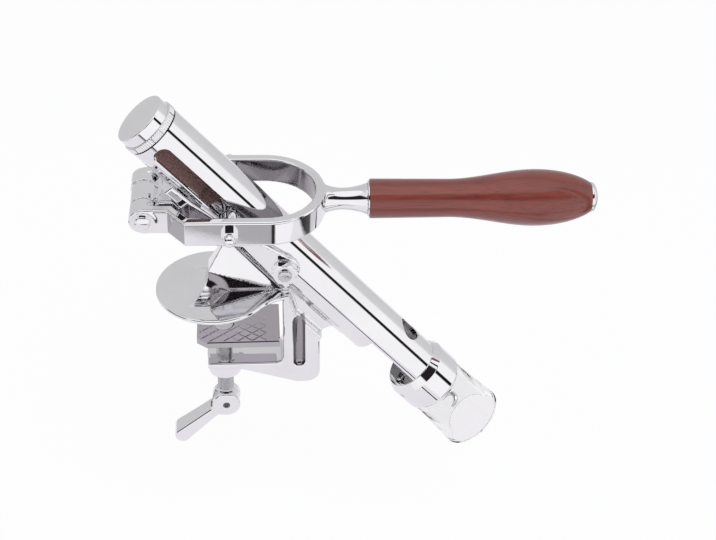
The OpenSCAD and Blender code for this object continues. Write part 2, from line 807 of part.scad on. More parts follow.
module worm() {
    color(bright_steel) on_barrel() union() {
        translate([0, 0, spindle_end - worm_shank_len])
            cylinder(d = worm_shank_d, h = worm_shank_len + 1.5);
        worm_wire();
    }
}

// ---------------------------------------------------------------- clamp frame

// Half width of the upper jaw between its disc and the clamp's back
function jaw_half(x) = back_w / 2
    + (jaw_r - 0.7 - back_w / 2) * (1 - smooth((x + 3) / (throat + 9.3)));

module jaw_plan() {
    steps = 24;
    reach = throat + 4;     // ends inside the back
    side = [for (i = [0:steps]) let (x = -3 + (reach + 3) * i / steps) [x, jaw_half(x)]];
    union() {
        translate([-jaw_back, 0]) circle(r = jaw_r);
        polygon(concat(side, flip(side)));
    }
}

clamp_out = throat + back_t;    // the clamp's rear face
// The brace under the barrel: its tip and knee hang from the trough
brace_tip = plan(along(trough_end - 21.4, -trough_r + 0.9));
brace_knee = plan(along(trough_end - 23.4, -trough_r - 6.1));
brace_foot = brace_knee[1] - 5.4;       // height where it leaves the back's rear face
brace_top = brace_knee[1] + 14.6;       // height where its front edge meets the back
brace_in = throat + 3;

// Side view of the clamp's back and lower jaw
module back_outline() {
    inside = -mouth_h;
    front = -boss_r;
    heel = 8;       // radius of the lower rear corner
    root = throat + 8;      // where the lower jaw is at its thickest
    polygon(concat(
        [[throat, jaw_t], [throat, inside + mouth_corner_r]],
        arc([throat - mouth_corner_r, inside + mouth_corner_r], mouth_corner_r, 0, -90, 8),
        [[front, inside], [front, inside - lower_tip_t + 1]],
        [[boss_r, inside - lower_tip_t], [root, inside - lower_jaw_t]],
        arc([clamp_out - heel, inside - lower_jaw_t + heel], heel, -90, 0, 12),
        [[clamp_out, brace_foot + 1], brace_knee - [0, 0.9], [root, brace_top + 2]],
        [[throat + 4, jaw_t]]
    ));
}

// Side view of the web between the upper jaw and the barrel
module web_outline() {
    foot = [-7.9, 17.4];        // lower front corner of the web
    shoulder = [1.1, 34.4];     // where the web's front edge turns up
    polygon([
        [foot[0] + 2, jaw_t / 2], foot, shoulder,
        plan(along(web_start, -tube_r + 4)), plan(along(cut_start, -bore_r + 3)),
        plan(along(trough_end - 14, -trough_r + 1)),
        brace_tip, brace_knee, [clamp_out - 2, brace_foot],
        [brace_in, brace_top], [brace_in, jaw_t / 2]
    ]);
}

// The flare that carries the web's front edge down into the jaw's disc
module web_flare() {
    foot_r = jaw_r * 0.84;
    top_r = web_w / 2;
    top_z = 17.4;
    steps = 12;
    translate([-1.9, 0, 0]) rotate_extrude() polygon(concat(
        [[0, jaw_t / 2], [foot_r, jaw_t / 2]],
        [for (i = [0:steps]) [foot_r - (foot_r - top_r) * sin(90 * i / steps),
            jaw_t + (top_z - jaw_t) * (1 - cos(90 * i / steps))]],
        [[0, top_z]]
    ));
}

module trough() {
    on_barrel(cut_start) difference() {
        cylinder(r = trough_r, h = trough_end - cut_start);
        translate([0, 0, -through])
            cylinder(r = trough_r - trough_wall, h = trough_end - cut_start + 2 * through);
        translate([-tube_od, -tube_od, -through])
            cube([tube_od, 2 * tube_od, trough_end]);
    }
}

module saddle() {
    half_w = web_w / 2 + 5.5;   // the web widens to this under the tube
    rise = 4.5;                 // how far it reaches up the tube's sides
    on_barrel(web_start + 2) translate([tube_r - rise, -half_w, 0])
        cube([rise + 1.5, 2 * half_w, cut_start - web_start - 2]);
}

module back_grooves() {
    groove_at = throat + 6.5;
    groove_len = 30;
    both_sides() translate([groove_at, back_w / 2 - groove_depth, -mouth_h - 3])
        cube([groove_w, groove_depth + through, groove_len]);
}

module clamp_frame() {
    color(chrome) difference() {
        union() {
            linear_extrude(jaw_t) jaw_plan();
            upright(-back_w / 2, back_w / 2) back_outline();
            upright(-web_w / 2, web_w / 2) web_outline();
            web_flare();
            saddle();
            trough();
            translate([0, 0, -mouth_h - boss_h]) cylinder(r = boss_r, h = boss_h);
        }
        back_grooves();
        on_barrel() cylinder(r = tube_r, h = cut_start);
        on_barrel(cut_start - eps) cylinder(r = trough_r - trough_wall, h = trough_end);
        on_barrel(cut_start - eps) translate([-tube_od, -tube_od, 0])
            cube([tube_od, 2 * tube_od, trough_end]);
        translate([0, 0, -mouth_h - boss_h - through])
            cylinder(r = screw_d / 2 + run_gap, h = boss_h + 2 * through);
    }
}

// ---------------------------------------------------------------- clamp screw

pad_top = -clamp_gap;
pad_foot = pad_top - pad_t;
tang_reach = 6;         // how far the screw's flat end passes the cross pin

module pressure_pad() {
    half = pad_w / 2;
    outline = [
        [-pad_front, half - pad_bevel * 0.8], [pad_bevel - pad_front, half], [pad_rear, half],
        [pad_rear, -half], [pad_bevel - pad_front, -half], [-pad_front, pad_bevel * 0.8 - half]
    ];
    color(chrome) difference() {
        translate([0, 0, pad_foot]) linear_extrude(pad_t) polygon(outline);
        translate([0, 0, pad_top - retainer_t - free_gap])
            cylinder(r = retainer_d / 2 + free_gap, h = retainer_t + through);
        translate([0, 0, pad_foot - through])
            cylinder(r = journal_d / 2 + run_gap, h = pad_t + 2 * through);
    }
}

module clamp_screw() {
    pin_z = -cross_pin_drop;
    shank_foot = pin_z + fork_r + free_gap;     // clears the fork's round head
    tang_foot = pin_z - tang_reach;
    color(bright_steel) difference() {
        union() {
            translate([0, 0, shank_foot]) cylinder(d = screw_d, h = pad_foot - run_gap - shank_foot);
            translate([0, 0, pad_foot - 1]) cylinder(d = journal_d, h = pad_top - retainer_t - pad_foot + 1);
            intersection() {
                translate([0, 0, tang_foot]) cylinder(d = screw_d, h = shank_foot + 1 - tang_foot);
                translate([-screw_d, -tang_w / 2, tang_foot - 1])
                    cube([2 * screw_d, tang_w, shank_foot + 3 - tang_foot]);
            }
        }
        translate([0, 0, pin_z]) crossbar(cross_pin_d / 2, -tube_od, tube_od);
    }
}

module pad_retainer() {
    color(bright_steel) translate([0, 0, pad_top - retainer_t])
        cylinder(d = retainer_d, h = retainer_t - 0.2);
}

// Side view of the folding lever: the fork's round head and a bar that thickens
module folding_lever() {
    gap_half = tang_w / 2 + free_gap;
    color(chrome) translate([0, 0, -cross_pin_drop]) rotate([0, -key_drop, 0]) difference() {
        union() {
            crossbar(fork_r, -fork_w / 2, fork_w / 2);
            upright(-key_w / 2, key_w / 2) polygon(concat(
                [[0, key_t / 2]],
                [[-fork_r, key_t / 2]],
                arc([key_tip_r - key_len, 0], key_tip_r, 90, 270, 16),
                [[-fork_r, -key_t / 2], [0, -key_t / 2]]
            ));
        }
        translate([-fork_r - 2, -gap_half, -2 * fork_r]) cube([4 * fork_r, 2 * gap_half, 4 * fork_r]);
        crossbar(cross_pin_d / 2 + run_gap, -fork_w, fork_w);
    }
}

module cross_pin() {
    short = 1;      // the pin ends below the fork's faces
    color(bright_steel) translate([0, 0, -cross_pin_drop])
        crossbar(cross_pin_d / 2, -fork_w / 2 + short, fork_w / 2 - short);
}

end_cap();
knurled_ring();
barrel();
clamp_frame();
collar();
collar_screw();
bell();
guide_bush();
drive_nut();
pivot_studs();
pivot_washers();
pivot_nuts();
link();
hinge_pin();
lever_ring();
carriage_bolts();
acorn_nuts();
ferrule();
handle_rod();
handle_grip();
handle_nut();
carriage();
carriage_stem();
thrust_washer();
spindle();
spindle_nut();
worm();
pressure_pad();
clamp_screw();
pad_retainer();
folding_lever();
cross_pin();
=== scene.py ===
"""Dresses the counter mount corkscrew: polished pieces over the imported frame, the stage and the camera.

Lengths are millimetres until a mesh is built. Three places are used: WORLD (x, y, z), BARREL (station down
the barrel, height over its axis, y) and LEVER (distance from the hinge, y, height over the lever's middle).
"""

import json

import bpy
import numpy as np
from mathutils import Matrix, Vector


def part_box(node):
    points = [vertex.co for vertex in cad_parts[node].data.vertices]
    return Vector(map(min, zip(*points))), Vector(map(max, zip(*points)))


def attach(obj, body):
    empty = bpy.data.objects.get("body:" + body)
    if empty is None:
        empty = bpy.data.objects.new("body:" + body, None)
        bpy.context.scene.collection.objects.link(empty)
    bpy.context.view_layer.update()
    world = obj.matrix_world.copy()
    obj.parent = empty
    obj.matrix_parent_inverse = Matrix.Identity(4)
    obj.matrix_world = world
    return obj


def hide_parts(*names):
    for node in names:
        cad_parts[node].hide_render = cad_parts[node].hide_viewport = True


bl_info = {
    "name": "Counter mount corkscrew",
    "version": (1, 0, 0),
    "blender": (4, 5, 0),
    "location": "View3D > Sidebar > Corkscrew",
    "description": "Builds the polished pieces, the stage and the camera of a counter mount corkscrew",
    "category": "Object",
}

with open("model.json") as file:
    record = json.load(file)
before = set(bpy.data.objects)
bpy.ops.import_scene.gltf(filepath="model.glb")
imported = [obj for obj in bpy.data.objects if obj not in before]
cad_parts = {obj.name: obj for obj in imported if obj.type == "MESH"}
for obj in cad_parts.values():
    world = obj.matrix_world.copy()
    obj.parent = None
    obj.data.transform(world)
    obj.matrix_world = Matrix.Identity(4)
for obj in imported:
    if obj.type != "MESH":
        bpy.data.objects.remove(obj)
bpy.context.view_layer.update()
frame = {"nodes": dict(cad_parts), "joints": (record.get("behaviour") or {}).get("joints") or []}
MM = 0.001

# ------------------------------------------------------------------ places


def unit(vector):
    """The vector at length one."""
    vector = np.asarray(vector, float)
    return vector / np.linalg.norm(vector)


def joint(name):
    """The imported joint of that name."""
    return next(j for j in frame["joints"] if j["name"] == name)


def joint_at(name):
    """A hinge's place in millimetres."""
    return np.array(joint(name)["pos_m"]) / MM


def node_box(node):
    """A node's lowest and highest corner in millimetres."""
    low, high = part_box(node)
    return np.array(low) / MM, np.array(high) / MM


def node_middle(node):
    """The middle of a node's box in millimetres."""
    return sum(node_box(node)) / 2


class Place:
    """An origin with three axes: world = origin + a * first + b * second + c * third."""

    def __init__(self, origin, first, second, third):
        self.origin = np.asarray(origin, float)
        self.axes = np.array([first, second, third], float)

    def point(self, local):
        return self.origin + np.asarray(local, float) @ self.axes

    def turn(self, local):
        return np.asarray(local, float) @ self.axes


X = np.array([1.0, 0.0, 0.0])
Y = np.array([0.0, 1.0, 0.0])
Z = np.array([0.0, 0.0, 1.0])
ASLANT = np.array([0.31, 0.95, 0.11])  # along no axis that a piece is turned about
LINK_PIN_AT = 121.3  # station of the link's pivot
DOWN = -unit(joint("carriage_slide")["axis"])  # down the barrel
OVER = np.array([-DOWN[2], 0.0, DOWN[0]])  # square to it, upwards
LINK_PIN = joint_at("link_swing")
CAP_FACE = LINK_PIN - LINK_PIN_AT * DOWN
HINGE = joint_at("lever_hinge")
FORK_PIN = node_middle("carriage_bolts")
ALONG = unit(FORK_PIN - HINGE)
WORLD = Place(np.zeros(3), X, Y, Z)
BARREL = Place(CAP_FACE, DOWN, OVER, Y)
LEVER = Place(HINGE, ALONG, Y, [-ALONG[2], 0.0, ALONG[0]])
FORK_PIN_AT = float((FORK_PIN - CAP_FACE) @ DOWN)
HINGE_AT = float((HINGE - CAP_FACE) @ DOWN)
HINGE_OVER = float((HINGE - CAP_FACE) @ OVER)


# ------------------------------------------------------------------ user's values


def mm_value(label, about, default):
    """A length in millimetres that a user may change."""
    return bpy.props.FloatProperty(name=label, description=about, default=default, min=0.0)


def colour_value(label, about, default):
    """A colour that a user may change."""
    return bpy.props.FloatVectorProperty(
        name=label, description=about, default=default, subtype="COLOR", size=3, min=0.0, max=1.0
    )


class CorkscrewSizes(bpy.types.PropertyGroup):
    """Sizes of the dressed pieces, in millimetres."""

    tube_radius: mm_value("Tube radius", "Outside radius of the barrel", 17.0)
    bore_radius: mm_value("Bore radius", "Inside radius of the barrel", 14.0)
    slot_width: mm_value("Slot width", "Width of the side slots", 10.0)
    edge: mm_value("Edge", "Width of the small broken edges", 0.5)
    cap_radius: mm_value("Cap radius", "Radius of the end cap", 16.1)
    knurl_depth: mm_value("Knurl depth", "Depth of the knurled ring's teeth", 0.45)
    knurl_count: bpy.props.IntProperty(name="Knurls", description="Teeth of the knurled ring", default=72)
    ring_radius: mm_value("Ring radius", "Outer radius of the lever ring's round end", 34.3)
    ring_wall: mm_value("Ring wall", "Wall of the lever ring", 5.6)
    casting_round: mm_value("Casting round", "Rounding of the clamp's cast edges", 1.3)
    casting_step: mm_value("Casting step", "Spacing of the grid that the castings are worked out on", 0.9)
    pad_chequer: mm_value("Pad chequer", "Distance between the pad's grooves", 7.0)
    thread_pitch: mm_value("Thread pitch", "Pitch of the clamp screw", 1.5)
    worm_pitch: mm_value("Worm pitch", "Pitch of the worm", 10.4)


class CorkscrewLooks(bpy.types.PropertyGroup):
    """Colours of the finishes and the stage."""

    chrome: colour_value("Chrome", "Colour of the plated pieces", (0.86, 0.86, 0.875))
    steel: colour_value("Steel", "Colour of the turned steel pieces", (0.62, 0.62, 0.64))
    # painted shade: a darker chrome for the ring's inside and the clamp frame's grooves and hollow
    inner_wall: colour_value("Inner wall", "Colour of the ring's less polished inside", (0.36, 0.34, 0.36))
    # painted shade: a near black for the bottom of the folding lever's pin holes
    recess: colour_value("Recess", "Colour of grooves and pits", (0.13, 0.11, 0.125))
    bronze: colour_value("Bronze", "Colour of the bushes", (0.42, 0.27, 0.13))
    # a brownish colour for the bore under the slots; open_bore is a greyer copy for the bore over the open
    # underside
    bore: colour_value("Bore", "Colour of the oiled bore", (0.64, 0.44, 0.42))
    open_bore: colour_value("Open bore", "Colour of the bore over the open underside", (0.42, 0.4, 0.4))
    bush: colour_value("Guide bush", "Colour of the moulded guide bush", (0.6, 0.56, 0.57))
    pad: colour_value("Pad", "Colour of the pad's duller plating", (0.5, 0.475, 0.505))
    wood_light: colour_value("Wood, light", "Light grain of the grip", (0.235, 0.042, 0.027))
    wood_dark: colour_value("Wood, dark", "Dark grain of the grip", (0.15, 0.023, 0.016))
    floor: colour_value("Floor", "Colour of the floor", (0.93, 0.93, 0.94))


# ------------------------------------------------------------------ mesh tools


class Shell:
    """Collects sheets of points with their normals and joins them into one closed mesh."""

    def __init__(self):
        self.points, self.normals, self.triangles, self.slots = [], [], [], []
        self.count = 0

    def add(self, points, normals, triangles, slot=0):
        """Takes loose points in millimetres, a normal for each, and the triangles between them."""
        self.points.append(points.reshape(-1, 3))
        self.normals.append(normals.reshape(-1, 3))
        self.triangles.append(triangles.reshape(-1, 3) + self.count)
        self.slots.append(np.full(triangles.size // 3, slot))
        self.count += points.size // 3

    def sheet(self, points, normals, closed=(False, False), slot=0):
        """Takes a grid of points, and one normal for all of them or one for each."""
        rows, columns = points.shape[:2]
        normals = np.broadcast_to(normals, points.shape)
        row = np.arange(rows if closed[0] else rows - 1)[:, None]
        column = np.arange(columns if closed[1] else columns - 1)[None, :]
        here = row * columns + column
        right = row * columns + (column + 1) % columns
        down = (row + 1) % rows * columns + column
        across = (row + 1) % rows * columns + (column + 1) % columns
        corners = np.stack([here, right, across, here, across, down], -1)
        self.add(points, normals, corners, slot)

    def build(self, name, finishes, body, node, slot="chrome"):
        """Joins points that meet, turns each triangle outwards and makes the object in place of its CAD node.

        Points meet where they round to the same five hundredth of a millimetre.
        """
        points = np.concatenate(self.points)
        normals = np.concatenate(self.normals)
        triangles = np.concatenate(self.triangles)
        slots = np.concatenate(self.slots)
        shared, place = np.unique(np.round(points * 500).astype(np.int64), axis=0, return_inverse=True)
        place = place.reshape(-1)
        first = np.zeros(len(shared), np.int64)
        first[place[::-1]] = np.arange(len(points))[::-1]
        a, b, c = place[triangles].T
        good = (a != b) & (b != c) & (c != a)
        triangles, slots = triangles[good], slots[good]
        corner = points[triangles]
        facing = np.cross(corner[:, 1] - corner[:, 0], corner[:, 2] - corner[:, 0])
        wrong = np.einsum("ij,ij->i", facing, normals[triangles].sum(1)) < 0
        triangles[wrong] = triangles[wrong][:, ::-1]
        mesh = bpy.data.meshes.new(name)
        count = len(triangles)
        mesh.vertices.add(len(shared))
        mesh.vertices.foreach_set("co", (points[first] * MM).astype(np.float32).ravel())
        mesh.loops.add(count * 3)
        mesh.loops.foreach_set("vertex_index", place[triangles].astype(np.int32).ravel())
        mesh.polygons.add(count)
        mesh.polygons.foreach_set("loop_start", np.arange(0, count * 3, 3, dtype=np.int32))
        mesh.polygons.foreach_set("material_index", slots.astype(np.int32))
        mesh.polygons.foreach_set("use_smooth", np.ones(count, bool))
        mesh.update(calc_edges=True)
        size = np.linalg.norm(normals, axis=1, keepdims=True)
        normals = normals / np.where(size > 0, size, 1)
        mesh.normals_split_custom_set(normals[triangles].reshape(-1, 3).tolist())
        for finish in finishes.split():
            mesh.materials.append(finish_named(finish))
        piece = bpy.data.objects.new(name, mesh)
        bpy.context.scene.collection.objects.link(piece)
        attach(piece, body)
        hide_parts(node)


def grid_normals(points, closed=(False, False)):
    """Normals of a grid: the cross product of the steps along its two directions."""
    steps = []
    for axis in (0, 1):
        ahead, behind = np.roll(points, -1, axis), np.roll(points, 1, axis)
        if not closed[axis]:
            last = [slice(None)] * 3
            last[axis] = -1
            ahead[tuple(last)] = points[tuple(last)]
            last[axis] = 0
            behind[tuple(last)] = points[tuple(last)]
        steps.append(ahead - behind)
    normal = np.cross(steps[0], steps[1])
    size = np.linalg.norm(normal, axis=-1, keepdims=True)
    return normal / np.where(size > 1e-12, size, 1)


def rounded(corners, radii, closed=False, steps=6):
    """A line of corners, each turned into an arc of its radius. Gives points and their outward normals.

    The line runs counter-clockwise round the solid, so outwards is to its right. A corner of radius nought
    gives two points at one place, one for each side's normal.
    """
    corners = np.asarray(corners, float)
    radii = np.broadcast_to(np.asarray(radii, float), len(corners))
    points, normals = [], []
    total = len(corners)
    for i, (corner, radius) in enumerate(zip(corners, radii)):
        if not closed and (i == 0 or i == total - 1):
            other = corners[1] - corner if i == 0 else corner - corners[-2]
            points.append(corner)
            normals.append(right_of(unit(other)))
            continue
        before = unit(corner - corners[i - 1])
        after = unit(corners[(i + 1) % total] - corner)
        turn = before[0] * after[1] - before[1] * after[0]
        if radius <= 0 or abs(turn) < 1e-6:
            points += [corner, corner]
            normals += [right_of(before), right_of(after)]
            continue
        half = np.tan(np.arccos(np.clip(before @ after, -1, 1)) / 2)
        side = np.sign(turn)
        start = corner - before * radius * half
        centre = start - right_of(before) * radius * side
        angle0 = np.arctan2(*(right_of(before) * side)[::-1])
        sweep = np.arctan2(turn, before @ after)
        for k in range(steps + 1):
            angle = angle0 + sweep * k / steps
            out = np.array([np.cos(angle), np.sin(angle)])
            points.append(centre + radius * out)
            normals.append(out * side)
    return np.array(points), np.array(normals)


def right_of(vector):
    """The direction to the right of a direction in a plane."""
    return np.array([vector[1], -vector[0]])


def turned(shell, origin, axis, points, normals=None, segments=96, slot=0):
    """A turned body: each profile point (radius, height) goes round the axis at its height."""
    axis = unit(axis)
    first = unit(np.cross(axis, ASLANT))
    second = np.cross(axis, first)
    angle = np.linspace(0, 2 * np.pi, segments, endpoint=False)
    spoke = np.cos(angle)[:, None] * first + np.sin(angle)[:, None] * second
    points = np.asarray(points, float)
    grid = np.asarray(origin) + points[:, None, :1] * spoke[None] + points[:, None, 1:] * axis
    if normals is None:
        step = np.gradient(points, axis=0)
        normals = np.stack([step[:, 1], -step[:, 0]], -1)
        normals /= np.linalg.norm(normals, axis=1, keepdims=True)
    out = normals[:, None, :1] * spoke[None] + normals[:, None, 1:] * axis
    shell.sheet(grid, out, closed=(False, True), slot=slot)


def lathe(shell, origin, axis, corners, radii, segments=96, slot=0, closed=False):
    """A turned body whose profile is a line of corners with rounded turns."""
    points, normals = rounded(corners, radii, closed)
    if closed:
        points, normals = np.vstack([points, points[:1]]), np.vstack([normals, normals[:1]])
    turned(shell, origin, axis, points, normals, segments, slot)


def strip(shell, first, second, out, closed=True):
    """A band between two rows of points. The second may be a single point, and out a single normal."""
    shell.sheet(np.stack([first, np.broadcast_to(second, first.shape)]), out, closed=(False, closed))


def band(shell, grid, out, closed=True):
    """A grid whose normals come from its own steps, each turned to the side that out points to."""
    normals = grid_normals(grid, (False, closed))
    sign = np.sign((normals * out).sum(-1, keepdims=True))
    shell.sheet(grid, normals * np.where(sign == 0, 1, sign), closed=(False, closed))


def dome(radius, base, rise, count, fullness=1.0):
    """Profile of a quarter of an ellipse, from its rim at the height of its base to its crown."""
    angle = np.linspace(0, np.pi / 2, count)
    return np.stack([radius * np.cos(angle) ** fullness, base + rise * np.sin(angle)], -1)


def ease(part):
    """From 0 to 1 along an S curve: three times the square less twice the cube."""
    part = np.clip(part, 0, 1)
    return part * part * (3 - 2 * part)


def swept_wire(shell, path, radius, sides=16):
    """A round wire along a path: each ring is square to the path and has its own radius. Both ends close."""
    run = np.gradient(path, axis=0)
    run /= np.linalg.norm(run, axis=1, keepdims=True)
    side = np.cross(DOWN, run)
    side /= np.linalg.norm(side, axis=1, keepdims=True)
    over = np.cross(run, side)
    angle = np.linspace(0, 2 * np.pi, sides, endpoint=False)[None, :, None]
    out = np.cos(angle) * side[:, None] + np.sin(angle) * over[:, None]
    grid = path[:, None] + radius[:, None, None] * out
    shell.sheet(grid, out, closed=(False, True))
    for end, facing in ((0, -run[0]), (-1, run[-1])):
        strip(shell, grid[end], path[end], facing)


# ------------------------------------------------------------------ moulded forms
# A cast or forged piece is the surface where a distance field is nought. The fields below give the distance
# to simple bodies, and melt() and carve() join them with soft inside corners, as a casting has.


def melt(a, b, soft):
    """The nearer of two distances, blended where they differ by less than soft."""
    near = np.maximum(soft - np.abs(a - b), 0) / soft
    return np.minimum(a, b) - near * near * near * soft / 6


def carve(a, b, soft):
    """What is left of a after b is cut away, with the edge broken by soft."""
    return -melt(-a, b, soft)


def block(p, low, high, edge):
    """Distance to a box between two corners with rounded edges."""
    low, high = np.asarray(low, float), np.asarray(high, float)
    away = np.abs(p - (low + high) / 2) - (high - low) / 2 + edge
    return np.linalg.norm(np.maximum(away, 0), axis=-1) + np.minimum(away.max(-1), 0) - edge


def thick(flat, along, low, high, edge):
    """Distance to a plate: a flat distance carried between two heights, with rounded edges."""
    a = flat + edge
    b = np.abs(along - (low + high) / 2) - (high - low) / 2 + edge
    return np.hypot(np.maximum(a, 0), np.maximum(b, 0)) + np.minimum(np.maximum(a, b), 0) - edge


def outline(x, y, corners):
    """Distance to a flat outline of straight sides: the nearest side, negative inside."""
    corners = np.asarray(corners, float)
    best = np.full(x.shape, np.inf)
    inside = np.ones(x.shape)
    for a, b in zip(corners, np.roll(corners, -1, 0)):
        ex, ey = b - a
        wx, wy = x - a[0], y - a[1]
        t = np.clip((wx * ex + wy * ey) / (ex * ex + ey * ey), 0, 1)
        best = np.minimum(best, (wx - t * ex) ** 2 + (wy - t * ey) ** 2)
        above, below, left = y >= a[1], y < b[1], ex * wy > ey * wx
        cross = (above & below & left) | (~above & ~below & ~left)
        inside = np.where(cross, -inside, inside)
    return inside * np.sqrt(best)


EDGES = [
    (a, b)
    for a in np.ndindex(2, 2, 2)
    for b in np.ndindex(2, 2, 2)
    if a < b and sum(i != j for i, j in zip(a, b)) == 1
]


def zero_surface(values):
    """The surface where a grid of values changes sign: one point in each cell that it crosses, at the mean
    of the cell's crossed edges, and four cells round each crossed edge make a face."""
    size = np.array(values.shape) - 1
    total = np.zeros((*size, 3), np.float32)
    count = np.zeros(size, np.float32)
    for a, b in EDGES:
        here = values[tuple(slice(i, i + n) for i, n in zip(a, size))]
        there = values[tuple(slice(i, i + n) for i, n in zip(b, size))]
        cross = (here < 0) != (there < 0)
        part = np.where(cross, here / np.where(cross, here - there, 1), 0)
        for k in range(3):
            total[..., k] += cross * (a[k] + part * (b[k] - a[k]))
        count += cross
    used = count > 0
    number = np.full(size, -1, np.int64)
    number[used] = np.arange(used.sum())
    points = np.argwhere(used) + total[used] / count[used][:, None]
    inside = values < 0
    faces = []
    for axis in range(3):
        u, v = [k for k in range(3) if k != axis]
        keep = [slice(1, -1)] * 3
        keep[axis] = slice(None, -1)
        ahead = list(keep)
        ahead[axis] = slice(1, None)
        found = np.argwhere(inside[tuple(keep)] != inside[tuple(ahead)])
        found[:, u] += 1
        found[:, v] += 1
        cells = []
        for du, dv in ((-1, -1), (0, -1), (0, 0), (-1, 0)):
            cell = found.copy()
            cell[:, u] += du
            cell[:, v] += dv
            cells.append(number[cell[:, 0], cell[:, 1], cell[:, 2]])
        faces.append(np.stack(cells, -1))
    return points, np.concatenate(faces)


def slope(field, points, step=0.02):
    """The field's direction of growth at each point, from differences a small step each way."""
    shift = np.eye(3) * step
    return np.stack([field(points + s) - field(points - s) for s in shift], -1) / (2 * step)


def moulded(shell, place, field, low, high, step, second=None):
    """The surface where the field is nought, between two corners of its place.

    A grid finds the surface, and three steps down the field's slope bring each point onto it. The slope
    there is the normal, so the flats are flat and the fillets are true. Where second is true of a point and
    its normal, the surface takes the second material.
    """
    low, high = np.asarray(low, float), np.asarray(high, float)
    counts = np.ceil((high - low) / step).astype(int) + 1
    axes = [a + step * np.arange(n) for a, n in zip(low, counts)]
    values = np.empty(counts, np.float32)
    for i, x in enumerate(axes[0]):
        layer = np.empty((counts[1], counts[2], 3))
        layer[..., 0] = x
        layer[..., 1] = axes[1][:, None]
        layer[..., 2] = axes[2][None, :]
        values[i] = field(layer)
    points, faces = zero_surface(values)
    points = low + points * step
    for _ in range(3):
        rise = slope(field, points)
        move = field(points)[:, None] * rise / np.maximum((rise**2).sum(1, keepdims=True), 0.05)
        points = points - np.clip(move, -0.6 * step, 0.6 * step)
    normals = slope(field, points)
    size = np.linalg.norm(normals, axis=1, keepdims=True)
    normals /= np.where(size > 0, size, 1)
    a, b, c, d = faces.T
    near = ((points[a] - points[c]) ** 2).sum(1) < ((points[b] - points[d]) ** 2).sum(1)
    triangles = np.where(
        near[:, None], np.stack([a, b, c, a, c, d], -1), np.stack([a, b, d, b, c, d], -1)
    )
    triangles = triangles.reshape(-1, 3)
    slots = 0 if second is None else (second(points, normals)[triangles].sum(-1) > 1).astype(int)
    shell.add(place.point(points), place.turn(normals), triangles, slots)


# ------------------------------------------------------------------ materials


def node_adder(tree):
    """A short way to add a shader node: inputs are values or outputs to join, settings are its own."""

    def add(kind, inputs=(), **settings):
        made = tree.nodes.new("ShaderNode" + kind)
        for key, value in settings.items():
            setattr(made, key, value)
        for key, value in dict(inputs).items():
            if isinstance(value, bpy.types.NodeSocket):
                tree.links.new(value, made.inputs[key])
            else:
                made.inputs[key].default_value = value
        return made

    return add


def new_material(name):
    """A material with a principled shader, its place on the piece, and ways to add and join nodes."""
    material = bpy.data.materials.new(name)
    material.use_nodes = True
    tree = material.node_tree
    add = node_adder(tree)
    place = add("TexCoord").outputs["Object"]
    return material, tree.nodes["Principled BSDF"], place, add, tree.links


def ramp(add, value, stops):
    """A colour ramp through (place, grey or colour) stops."""
    made = add("ValToRGB", {"Fac": value})
    elements = made.color_ramp.elements
    while len(elements) < len(stops):
        elements.new(0.5)
    for element, (at, tone) in zip(elements, stops):
        element.position = at
        element.color = (*tone, 1) if isinstance(tone, (tuple, list)) else (tone, tone, tone, 1)
    return made.outputs["Color"]


def fade(add, value, start, end, low=0.0, high=1.0):
    """A value that goes from low to high while another goes from start to end."""
    ends = {"From Min": start, "From Max": end, "To Min": low, "To Max": high}
    return add("MapRange", {"Value": value, **ends}).outputs["Result"]


def reckon(add, operation, *values):
    """The result of one step of arithmetic."""
    return add("Math", dict(enumerate(values)), operation=operation).outputs[0]


def blend(add, share, first, second, **settings):
    """Two colours mixed, with the second's share."""
    mix = add("Mix", {"Factor": share, "A": first, "B": second}, data_type="RGBA", **settings)
    return mix.outputs["Result"]


def within_all(add, limits):
    """The product of fades, each given as (value, start, end)."""
    product = None
    for value, start, end in limits:
        part = fade(add, value, start, end)
        product = part if product is None else reckon(add, "MULTIPLY", product, part)
    return product


def bump(add, height, strength, distance, **under):
    """A normal bent by a height. Another normal may lie under it."""
    inputs = {"Height": height, "Strength": strength, "Distance": distance, **under}
    return add("Bump", inputs).outputs["Normal"]


def metal(name, colour, smooth, rough, grain=0.0, grain_scale=400.0, wave=0.0, plated=1.0):
    """A bright metal: smudges vary the gloss, and a fine grain and long waves bend the surface a little."""
    material, shader, place, add, links = new_material(name)
    shader.inputs["Metallic"].default_value = plated
    smudge = add("TexNoise", {"Vector": place, "Scale": 38.0, "Detail": 6.0, "Roughness": 0.6})
    links.new(fade(add, smudge.outputs["Fac"], 0.42, 0.68, smooth, rough), shader.inputs["Roughness"])
    dull = tuple(0.94 * c for c in colour)
    tone = ramp(add, smudge.outputs["Fac"], [(0.35, tuple(colour)), (0.75, dull)])
    links.new(tone, shader.inputs["Base Color"])
    fine = add("TexNoise", {"Vector": place, "Scale": grain_scale, "Detail": 3.0})
    long = add("TexNoise", {"Vector": place, "Scale": 45.0, "Detail": 1.0})
    grained = bump(add, fine.outputs["Fac"], grain, 0.0002)
    links.new(bump(add, long.outputs["Fac"], wave, 0.001, Normal=grained), shader.inputs["Normal"])
    return material


